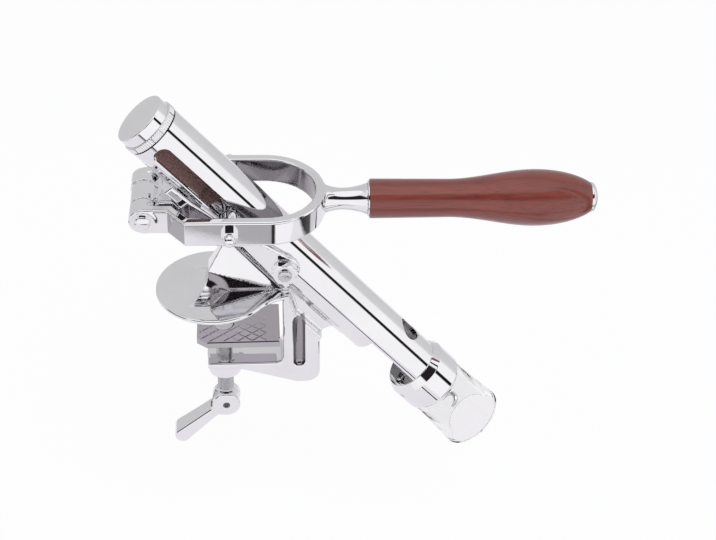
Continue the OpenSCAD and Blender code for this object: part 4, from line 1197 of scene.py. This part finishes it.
class MakeClampFrame(bpy.types.Operator):
    """The casting: jaw disc, flared web, saddle and trough, back, lower jaw and screw boss."""

    bl_idname = "corkscrew.make_clamp_frame"
    bl_label = "Clamp frame"

    jaw_radius, jaw_back, jaw_thick = 34.7, 4.5, 3.0
    throat, back, half, web_half = 35.7, 22.1, 12.0, 6.0
    mouth, boss_radius, boss_end = 48.6, 10.0, 62.2
    groove_at, groove_out, groove_radius = 9.6, 0.6, 3.6
    web_foot, web_rise, ridge_drop, ridge_end = (-7.9, 17.4), (1.1, 34.4), 16.0, 35.5
    flare_side, flare_nose, flare_foot, flare_back, draft = 17.8, 14.7, 2.2, 13.0, 0.14
    hollow_middle, hollow_reach = 14.0, 21.5
    trough_from, trough_to, trough_radius, trough_bore = 134.0, 203.0, 14.8, 12.5
    saddle_from, saddle_radius, saddle_half, tube_seat = 86, 17.6, 11.2, 17.03

    def execute(self, context):
        sizes = context.scene.corkscrew_sizes
        self.edge = sizes.casting_round
        shell = Shell()
        low, high = node_box("clamp_frame")
        # the side grooves and the hollow under the web take the second material, which paints in shade
        moulded(shell, WORLD, self.field, low - 2.2, high + 2.2, sizes.casting_step, self.painted_shade_zone)
        shell.build("clamp_frame_cast", "cast_chrome inner_wall", "frame", "clamp_frame")
        return {"FINISHED"}

    def jaw(self, x, y, z):
        """A disc that narrows on a smooth curve to the width of the back."""
        disc = np.hypot(x + self.jaw_back, y) - self.jaw_radius
        reach = self.throat + 4
        narrowed = ease((x + 3) / (self.throat + 9.3))
        wide = self.half + (self.jaw_radius - 0.7 - self.half) * (1 - narrowed)
        neck = np.maximum((np.abs(y) - wide) * 0.85, np.maximum(-3 - x, x - reach))
        return thick(melt(disc, neck, 2.0), z, 0, self.jaw_thick, 1.4)

    def back_plate(self, x, y, z):
        """The back and the lower jaw in one side view, with its side grooves."""
        out = self.throat + self.back
        heel = [(out - 8 + 8 * np.sin(a), -56.6 - 8 * np.cos(a)) for a in np.radians([0, 22, 45, 68, 90])]
        throat, mouth = self.throat, -self.mouth
        side = outline(x, z, [
            (throat, 3), (throat, -44.6), (throat - 1.2, -47.4), (throat - 4, mouth), (-10, mouth),
            (-10, -52.6), (10, -53.6), (throat + 8, -64.6), *heel,
            (out, -33), (out + 1.3, -29.5), (throat + 8, -12), (throat + 4, 3),
        ])
        plate = thick(side, y, -self.half, self.half, self.edge)
        level = z - np.clip(z, mouth + 0.4, -16.5)
        across, deep = x - throat - self.groove_at, np.abs(y) - self.half - self.groove_out
        groove = np.sqrt(across**2 + deep**2 + level**2) - self.groove_radius
        return carve(plate, groove, 0.8)

    def painted_shade_zone(self, p, normal):
        """True in the side grooves and in the hollow under the web, where shade is painted: the darker second
        material stands for the dark that these hollows reflect.
        """
        x, y, z = p[..., 0], p[..., 1], p[..., 2]
        near = np.abs(x - self.throat - self.groove_at) < self.groove_radius
        groove = near & (z < -15) & (np.abs(y) < self.half - 0.3) & (np.abs(normal[..., 2]) < 0.9)
        hollow = (z > self.jaw_thick + 0.3) & (z < self.ridge(x) - 0.3)
        return groove | (hollow & (np.abs(x - self.hollow_middle) < self.hollow_reach))

    def web(self, x, y, z):
        """The plate between the jaw and the barrel, under a leaning front edge."""
        foot, rear = self.web_foot, self.throat + 3
        under = [BARREL.point((s, n, 0)) for s, n in ((82, -13), (134, -11), (189, -13.8))]
        side = outline(x, z, [
            (foot[0] + 1.2, foot[1] - 1), foot, self.web_rise, *[(q[0], q[2]) for q in under],
            (65.7, -25.6), (59.1, -28.6), (55.8, -34), (rear, -14), (rear, 1.5), (34.5, 2),
        ])
        above = np.maximum(z - self.ridge(x), 0)
        return thick(side, np.abs(y) + self.draft * above, -1.0, self.web_half, 0.7)

    def ridge(self, x):
        """Height of the edge where the web's leaning sides end and the flare begins."""
        start, top = self.web_foot
        return top - self.ridge_drop * np.clip((x - start) / (self.ridge_end - start), 0, 1)

    def swept(self, part):
        """How far a quarter ellipse has swept out, from 0 to 1, stopped just short of lying flat."""
        stop = 0.94
        return (1 - np.sqrt(1 - (stop * part) ** 2)) / (1 - np.sqrt(1 - stop**2))

    def flare(self, x, y, z):
        """Under the web the sides and the front edge sweep out to the disc on quarter ellipses."""
        start, top = self.web_foot
        full = top - self.flare_foot
        top_here = self.ridge(x)
        height = np.maximum(top_here - self.flare_foot, 0.5)
        sweep = self.swept(np.clip((top_here - z) / height, 0, 1))
        wide = self.flare_side * height / full * (1 - 0.97 * ease((x - start - 1.0) / self.flare_back))
        sides = np.abs(y) - (self.web_half - 1.2 + wide * sweep)
        nose = start + 0.8 - self.flare_nose * self.swept(np.clip((top - z) / full, 0, 1)) - x
        body = -melt(-sides * 0.75, -nose * 0.75, 1.2)
        return np.maximum(np.maximum(body, z - top_here), np.maximum(1.0 - z, x - self.throat - 3))

    def barrel_seat(self, p):
        """A saddle under the tube and the trough that carries its open stretch."""
        local = (p - BARREL.origin) @ BARREL.axes.T
        s, n, y = local[..., 0], local[..., 1], local[..., 2]
        around = np.hypot(n, y)
        saddle = np.maximum(around - self.saddle_radius, np.maximum(np.abs(y) - self.saddle_half, n + 11.6))
        saddle = np.maximum(saddle, np.maximum(self.saddle_from - s, s - self.trough_from - 4))
        trough = thick(around - self.trough_radius, s, self.trough_from - 6, self.trough_to, 1.0)
        trough = np.maximum(trough, n - 0.2)
        return s, n, around, saddle, trough

    def field(self, p):
        """Distance to the whole casting in the world's place."""
        x, y, z = p[..., 0], p[..., 1], p[..., 2]
        s, n, around, saddle, trough = self.barrel_seat(p)
        web = melt(self.web(x, y, z), saddle, 5.0)
        web = melt(web, trough, 3.0)
        base = melt(self.jaw(x, y, z), self.flare(x, y, z), 1.5)
        body = np.minimum(base, web)
        boss = thick(np.hypot(x, y) - self.boss_radius, z, -self.boss_end, -self.mouth, 1.0)
        frame_back = melt(self.back_plate(x, y, z), boss, 3.0)
        body = melt(body, frame_back, 2.5)
        tube = np.maximum(around - self.tube_seat, s - self.trough_from)
        hollow = np.maximum(around - self.trough_bore, self.trough_from - s - 1)
        body = np.maximum(body, -np.minimum(tube, hollow))
        above = np.maximum(-n, self.trough_from - s)
        return np.maximum(body, -above)


class MakeClampScrew(bpy.types.Operator):
    """Pressure pad, clamp screw with its thread, and the folding lever."""

    bl_idname = "corkscrew.make_clamp_screw"
    bl_label = "Clamp screw"

    pad_top, pad_thick, pad_front, pad_rear, pad_half, bevel = -26.6, 4.5, -15.9, 33.7, 18.0, 6.0
    plain_from, groove_deep, groove_slow, groove_steep = 26.3, 0.35, 1.1, 0.25
    dish_radius, dish_deep, pad_edge = 6.2, 1.9, 0.5
    pin_drop, tang_half, fork_half, fork_radius = 86.6, 3.0, 7.0, 8.6
    key_length, key_tip, key_drop = 42.8, 4.9, 42.0

    def execute(self, context):
        sizes = context.scene.corkscrew_sizes
        self.pad(sizes.pad_chequer)
        self.screw(sizes.thread_pitch)
        self.folding_lever()
        dress_nodes("steel", "pad_retainer", "cross_pin")
        return {"FINISHED"}

    def pad(self, chequer):
        """A plate whose top is cut by two sets of crossing grooves, up to a plain strip at the rear."""
        x = np.linspace(self.pad_front, self.pad_rear, 200)
        part = np.linspace(-1, 1, 150)
        half = np.minimum(self.pad_half, self.pad_half - self.bevel * 0.8 + (x - self.pad_front) * 0.8)
        xs = np.repeat(x[:, None], len(part), 1)
        ys = half[:, None] * part[None]
        cut = np.zeros_like(xs)
        for sign in (1, -1):
            wave = ((xs * 0.8 + sign * ys) / chequer) % 1.0
            across = (wave - 0.5) * chequer * sign
            reach = np.where(across > 0, self.groove_slow, self.groove_steep)
            cut = np.maximum(cut, np.clip(1 - np.abs(across) / reach, 0, 1))
        rim = np.minimum(self.pad_half - np.abs(ys), xs - self.pad_front)
        cut *= (xs < self.plain_from) * np.clip((rim - 0.4) / 0.6, 0, 1)
        far = np.hypot(xs, ys)
        cut *= far > self.dish_radius + 0.4
        dish = np.clip((self.dish_radius - far) / 0.4, 0, 1) * self.dish_deep
        edge = self.pad_edge
        zs = self.pad_top - self.groove_deep * cut - dish
        top = np.stack([xs, ys, zs], -1)
        shell = Shell()
        centre = np.array([(self.pad_front + self.pad_rear) / 2, 0, 0])
        shrink = 1 - edge / 20
        top[..., :2] = centre[:2] + (top[..., :2] - centre[:2]) * shrink
        normal = grid_normals(top)
        normal *= np.sign(normal[..., 2:])
        shell.sheet(top, normal)
        loop = np.concatenate([top[:, 0], top[-1, 1:], top[-2::-1, -1], top[0, -2:0:-1]])
        flat = loop.copy()
        flat[:, 2] = self.pad_top
        wide = flat.copy()
        wide[:, :2] = centre[:2] + (flat[:, :2] - centre[:2]) / shrink
        low = self.pad_top - self.pad_thick
        rings = []
        for ring, z in ((flat, self.pad_top), (wide, self.pad_top - edge), (wide, low + edge), (flat, low)):
            made = ring.copy()
            made[:, 2] = z
            rings.append(made)
        for first, second in zip(rings, rings[1:]):
            side = np.stack([first, second])
            band(shell, side, side - centre - [0, 0, self.pad_top])
        under = top.copy()
        under[..., 2] = low
        shell.sheet(under, -Z)
        shell.build("pad_chequered", "pad", "pad", "pressure_pad")

    def screw(self, pitch):
        """A thread of triangular turns: the radius is a saw of the height, less the angle's share of a
        pitch."""
        top, foot, radius, depth = -31.2, -77.6, 5.0, 0.85
        z = np.arange(foot, top, pitch / 10)
        angle = np.linspace(0, 2 * np.pi, 48, endpoint=False)
        phase = (z[:, None] / pitch - angle[None] / (2 * np.pi)) % 1
        run_out = np.clip(np.minimum(z - foot - 1.0, top - 1.5 - z) / 1.5, 0, 1)[:, None]
        r = radius - depth * run_out * np.clip(np.abs(phase - 0.5) * 2.6 - 0.3, 0, 1)
        grid = np.stack([r * np.cos(angle), r * np.sin(angle), np.repeat(z[:, None], 48, 1)], -1)
        shell = Shell()
        band(shell, grid, grid * (X + Y))
        for row, facing in ((0, -Z), (-1, Z)):
            strip(shell, grid[row], z[row] * Z, facing)
        lathe(shell, (0, 0, 0), Z, [(3, -32), (3, self.pad_top - 1.7)], 0, 32)
        moulded(shell, WORLD, self.tang, (-6, -6, -94), (6, 6, -76), 0.5)
        shell.build("clamp_screw_threaded", "steel", "clamp_screw", "clamp_screw", "bright_steel")

    def tang(self, p):
        """The flat at the screw's lower end, inside the fork."""
        x, y, z = p[..., 0], p[..., 1], p[..., 2]
        shaft = thick(np.hypot(x, y) - 4.95, z, -92.5, -77.2, 0.8)
        return np.maximum(shaft, np.maximum(np.abs(y) - self.tang_half, -5.5 - x))

    def folding_lever(self):
        """A fork with a round head, and a bar that thickens towards a round tip."""
        tilt = np.radians(self.key_drop)
        along = np.array([-np.cos(tilt), 0, -np.sin(tilt)])
        place = Place([0, 0, -self.pin_drop], along, Y, [-along[2], 0, along[0]])
        shell = Shell()
        moulded(shell, place, self.key_field, (-11, -9, -11), (45, 9, 11), 0.7)
        for side in (1, -1):
            # a near black disc closes each pin hole: painted shade in the pit
            lathe(shell, place.origin, side * Y, [(2.05, 6.2), (1.5, 6.2), (0, 6.2)], 0, 32, slot=1)
        shell.build("folding_lever_cast", "chrome recess", "folding_lever", "folding_lever")

    def key_field(self, p):
        """Distance to the folding lever: local x runs from the pin to the tip."""
        x, y, z = p[..., 0], p[..., 1], p[..., 2]
        head = thick(np.hypot(x, z) - self.fork_radius, y, -self.fork_half, self.fork_half, 1.2)
        t = np.clip(x / (self.key_length - self.key_tip), 0, 1)
        width = 5.6 + 1.1 * t
        half = 3.0 + (self.key_tip - 3.0) * t**1.5
        bar = np.hypot(np.maximum(x - (self.key_length - self.key_tip), 0), z) - half
        bar = self.rounded_bar(bar, x, y, width)
        body = melt(head, bar, 5.0)
        slot = block(np.stack([x, y, z], -1), (-14, -3.4, -14), (10.6, 3.4, 14), 0.5)
        body = carve(body, slot, 0.6)
        return carve(body, np.maximum(np.hypot(x, z) - 2.05, 5.9 - np.abs(y)), 0.5)

    def rounded_bar(self, bar, x, y, width):
        """The bar's side view carried across its width, with well rounded edges."""
        edge = 1.6
        a, b = np.maximum(bar, -x) + edge, np.abs(y) - width + edge
        return np.hypot(np.maximum(a, 0), np.maximum(b, 0)) + np.minimum(np.maximum(a, b), 0) - edge


# ------------------------------------------------------------------ stage


class MakeStage(bpy.types.Operator):
    """Pale floor, soft studio light and the camera at the photograph's angle."""

    bl_idname = "corkscrew.make_stage"
    bl_label = "Stage and camera"

    floor_at, floor_half, floor_glow, soft_light = -0.21, 6.0, 0.93, 0.55
    card_tint, tint = (1.0, 0.986, 0.995), (1.0, 0.975, 1.02)
    table_edge, table_tone = (-34.5, -33.0, -31.5, -30.0), 0.9
    table_slant, table_sides = -0.43, [("Y", -0.404, -0.391), ("X", -0.36, -0.345), ("X", 0.4, 0.385)]
    # the dark round the lens, and a dark card to its left: bearing from and to, height from and to
    dark_cards = [((-50, -44), (52, 46), (21, 24), (56, 52)), ((-98, -93), (-50, -54), (0, 4), (34, 31))]
    # a thin dark line on the table: its place, its lean, where the lean starts, and its half width
    dark_stripe = (0.083, 0.585, -0.38, 0.014)
    stripe_tone, card_dark = (0.02, 0.015, 0.018, 1), (0.02, 0.016, 0.018, 1)
    roof_tone, roof_rise = (1.08, 1.08, 1.09, 1), (62, 64)
    camera_at = (0.0238, -0.8334, 0.65505)
    yaw, pitch, roll = -0.0683, 0.6563, 0.0175
    lens = 89.39

    def execute(self, context):
        self.floor(context.scene.corkscrew_looks.floor)
        self.world()
        self.lights()
        self.camera(context)
        return {"FINISHED"}

    def floor(self, colour):
        """Pale and half glowing to the eye, and to the metal a bright table with a thin dark line."""
        half, z = self.floor_half, self.floor_at
        corners = [(-half, -half, z), (half, -half, z), (half, half, z), (-half, half, z)]
        mesh = bpy.data.meshes.new("floor")
        mesh.from_pydata(corners, [], [(0, 1, 2, 3)])
        floor = bpy.data.objects.new("floor", mesh)
        bpy.context.scene.collection.objects.link(floor)
        material, shader, place, add, links = new_material("floor")
        shader.inputs["Base Color"].default_value = (*colour, 1)
        shader.inputs["Roughness"].default_value = 0.9
        shader.inputs["Specular IOR Level"].default_value = 0.0
        glow = add("Emission", {"Color": (1, 1, 1, 1), "Strength": 1.0}).outputs[0]
        path = add("LightPath").outputs
        seen = reckon(add, "MAXIMUM", path["Is Camera Ray"], path["Is Transmission Ray"])
        share = reckon(add, "MULTIPLY", seen, self.floor_glow)
        lit = add("MixShader", {0: share, 1: shader.outputs["BSDF"], 2: glow}).outputs[0]
        table = self.table(add, add("SeparateXYZ", {"Vector": place}).outputs)
        mixed = add("MixShader", {0: path["Is Glossy Ray"], 1: lit, 2: table}).outputs[0]
        links.new(mixed, material.node_tree.nodes["Material Output"].inputs["Surface"])
        mesh.materials.append(material)

    def table(self, add, spot):
        """The bright table inside its soft sides, clear outside them, with the leaning dark line on it."""
        across = {"X": spot["X"], "Y": reckon(add, "MULTIPLY_ADD", spot["X"], self.table_slant, spot["Y"])}
        inside = within_all(add, [(across[axis], out, full) for axis, out, full in self.table_sides])
        at, lean, from_y, half = self.dark_stripe
        line = reckon(add, "MULTIPLY_ADD", spot["Y"], -lean, lean * from_y - at)
        line = reckon(add, "ABSOLUTE", reckon(add, "ADD", line, spot["X"]))
        tone = tuple(self.table_tone * c for c in self.tint) + (1,)
        tone = blend(add, fade(add, line, half * 0.8, half), self.stripe_tone, tone)
        table = add("Emission", {"Color": tone, "Strength": 1.0}).outputs[0]
        return add("MixShader", {0: inside, 1: add("BsdfTransparent").outputs[0], 2: table}).outputs[0]

    # The studio as the metal sees it. Bearings run from the camera's side at 0 through the right at 90 to the
    # back at 180. Above the table there are white cards, a thin dark gap and a grey back wall. Below it the
    # table's grey front and a dark side show.
    upper_cards = [
        (-180, 0.67), (-130, 0.65), (-100, 0.78), (-64, 0.9), (-15, 1.06), (61.4, 1.06), (62, 0.01),
        (70.9, 0.01), (71.5, 1.06), (100, 1.04), (106, 0.78), (112, 0.72), (150, 0.67), (180, 0.67),
    ]
    lower_cards = [
        (-180, 0.5), (-110, 0.47), (8, 0.47), (10, 0.3), (11, 0.03), (16, 0.03), (18, 1.05), (66, 1.05),
        (68, 0.04), (74, 0.03), (94, 0.1), (98, 0.7), (140, 0.7), (158, 0.85), (172, 0.95), (180, 0.9),
    ]

    def world(self):
        """White to the camera, plain soft light to matt surfaces, and the studio's cards to the metal."""
        world = bpy.data.worlds.new("studio")
        bpy.context.scene.world = world
        world.use_nodes = True
        add = node_adder(world.node_tree)
        part = add("SeparateXYZ", {"Vector": add("TexCoord").outputs["Generated"]}).outputs
        bearing = reckon(add, "ARCTAN2", part["X"], reckon(add, "MULTIPLY", part["Y"], -1.0))
        rise = reckon(add, "ARCSINE", part["Z"])
        studio = add("Background", {"Color": self.studio(add, bearing, rise)}).outputs[0]
        white = add("Background", {"Color": (1, 1, 1, 1)}).outputs[0]
        soft = add("Background", {"Color": (0.95, 0.96, 1.0, 1), "Strength": self.soft_light}).outputs[0]
        path = add("LightPath").outputs
        seen = reckon(add, "MAXIMUM", path["Is Camera Ray"], path["Is Transmission Ray"])
        first = add("MixShader", {0: path["Is Glossy Ray"], 1: soft, 2: studio}).outputs[0]
        second = add("MixShader", {0: seen, 1: first, 2: white}).outputs[0]
        world.node_tree.links.new(second, world.node_tree.nodes["World Output"].inputs["Surface"])

    def studio(self, add, bearing, rise):
        """The colour in each direction: cards by their bearing above and below the table's edge, a dark gap
        between them, the dark cards over both, and a white roof."""
        turn = fade(add, bearing, -np.pi, np.pi)
        upper, lower = (
            ramp(add, turn, [((at + 180) / 360, tuple(tone * c for c in tint)) for at, tone in stops])
            for stops, tint in ((self.upper_cards, self.card_tint), (self.lower_cards, self.tint))
        )
        below, shut, opens, above = np.radians(self.table_edge)
        shaded = blend(add, fade(add, rise, below, shut), lower, self.card_dark)
        shaded = blend(add, fade(add, rise, opens, above), shaded, upper)
        for card in self.dark_cards:
            limits = zip((bearing, bearing, rise, rise), np.radians(card))
            inside = within_all(add, [(value, *ends) for value, ends in limits])
            shaded = blend(add, inside, shaded, self.card_dark)
        return blend(add, fade(add, rise, *np.radians(self.roof_rise)), shaded, self.roof_tone)

    def lights(self):
        """A broad soft light above, and a weaker one from the left."""
        for name, where, size, power in (
            ("key", (0.5, -0.9, 1.5), 1.4, 16.0),
            ("fill", (-1.3, -0.5, 0.9), 1.2, 7.0),
        ):
            data = bpy.data.lights.new(name, "AREA")
            data.shape = "SQUARE"
            data.size = size
            data.energy = power
            lamp = bpy.data.objects.new(name, data)
            lamp.visible_glossy = False
            bpy.context.scene.collection.objects.link(lamp)
            look = np.array([0.05, 0.0, 0.0]) - np.array(where)
            lamp.location = where
            lamp.rotation_mode = "QUATERNION"
            lamp.rotation_quaternion = Vector(look).to_track_quat("-Z", "Y")

    def camera(self, context):
        """The photograph's camera: its heading, its tilt and a slight roll."""
        yaw, pitch, roll = self.yaw, self.pitch, self.roll
        ahead = np.array([-np.sin(yaw) * np.cos(pitch), np.cos(yaw) * np.cos(pitch), -np.sin(pitch)])
        level = np.array([np.cos(yaw), np.sin(yaw), 0])
        over = np.cross(level, ahead)
        right = level * np.cos(roll) + over * np.sin(roll)
        up = over * np.cos(roll) - level * np.sin(roll)
        data = bpy.data.cameras.new("camera")
        data.lens = self.lens
        data.sensor_width = 36.0
        data.clip_end = 50.0
        camera = bpy.data.objects.new("camera", data)
        context.scene.collection.objects.link(camera)
        matrix = np.eye(4)
        matrix[:3, 0], matrix[:3, 1], matrix[:3, 2], matrix[:3, 3] = right, up, -ahead, self.camera_at
        camera.matrix_world = Matrix(matrix.tolist())
        context.scene.camera = camera
        context.scene.view_settings.view_transform = "Standard"


# ------------------------------------------------------------------ panel and main

STEPS = [
    MakeBarrel, MakeCap, MakeBell, MakeWorm, MakeLink, MakePivots, MakeLever, MakeHandle, MakeClampFrame,
    MakeClampScrew, MakeStage,
]


class CorkscrewPanel(bpy.types.Panel):
    """Lists the steps that build the corkscrew, and its values."""

    bl_idname = "VIEW3D_PT_corkscrew"
    bl_label = "Corkscrew"
    bl_space_type = "VIEW_3D"
    bl_region_type = "UI"
    bl_category = "Corkscrew"

    def draw(self, context):
        for step in STEPS:
            self.layout.operator(step.bl_idname)
        for group in (context.scene.corkscrew_sizes, context.scene.corkscrew_looks):
            for name in group.__annotations__:
                self.layout.prop(group, name)


CLASSES = [CorkscrewSizes, CorkscrewLooks, *STEPS, CorkscrewPanel]


def register():
    """Registers the classes and the scene's two groups of values."""
    for made in CLASSES:
        bpy.utils.register_class(made)
    bpy.types.Scene.corkscrew_sizes = bpy.props.PointerProperty(type=CorkscrewSizes)
    bpy.types.Scene.corkscrew_looks = bpy.props.PointerProperty(type=CorkscrewLooks)


def unregister():
    """Takes them away again."""
    del bpy.types.Scene.corkscrew_looks
    del bpy.types.Scene.corkscrew_sizes
    for made in reversed(CLASSES):
        bpy.utils.unregister_class(made)


def main():
    """Builds everything in order."""
    register()
    for step in STEPS:
        group, name = step.bl_idname.split(".")
        getattr(getattr(bpy.ops, group), name)()


if __name__ == "__main__":
    main()
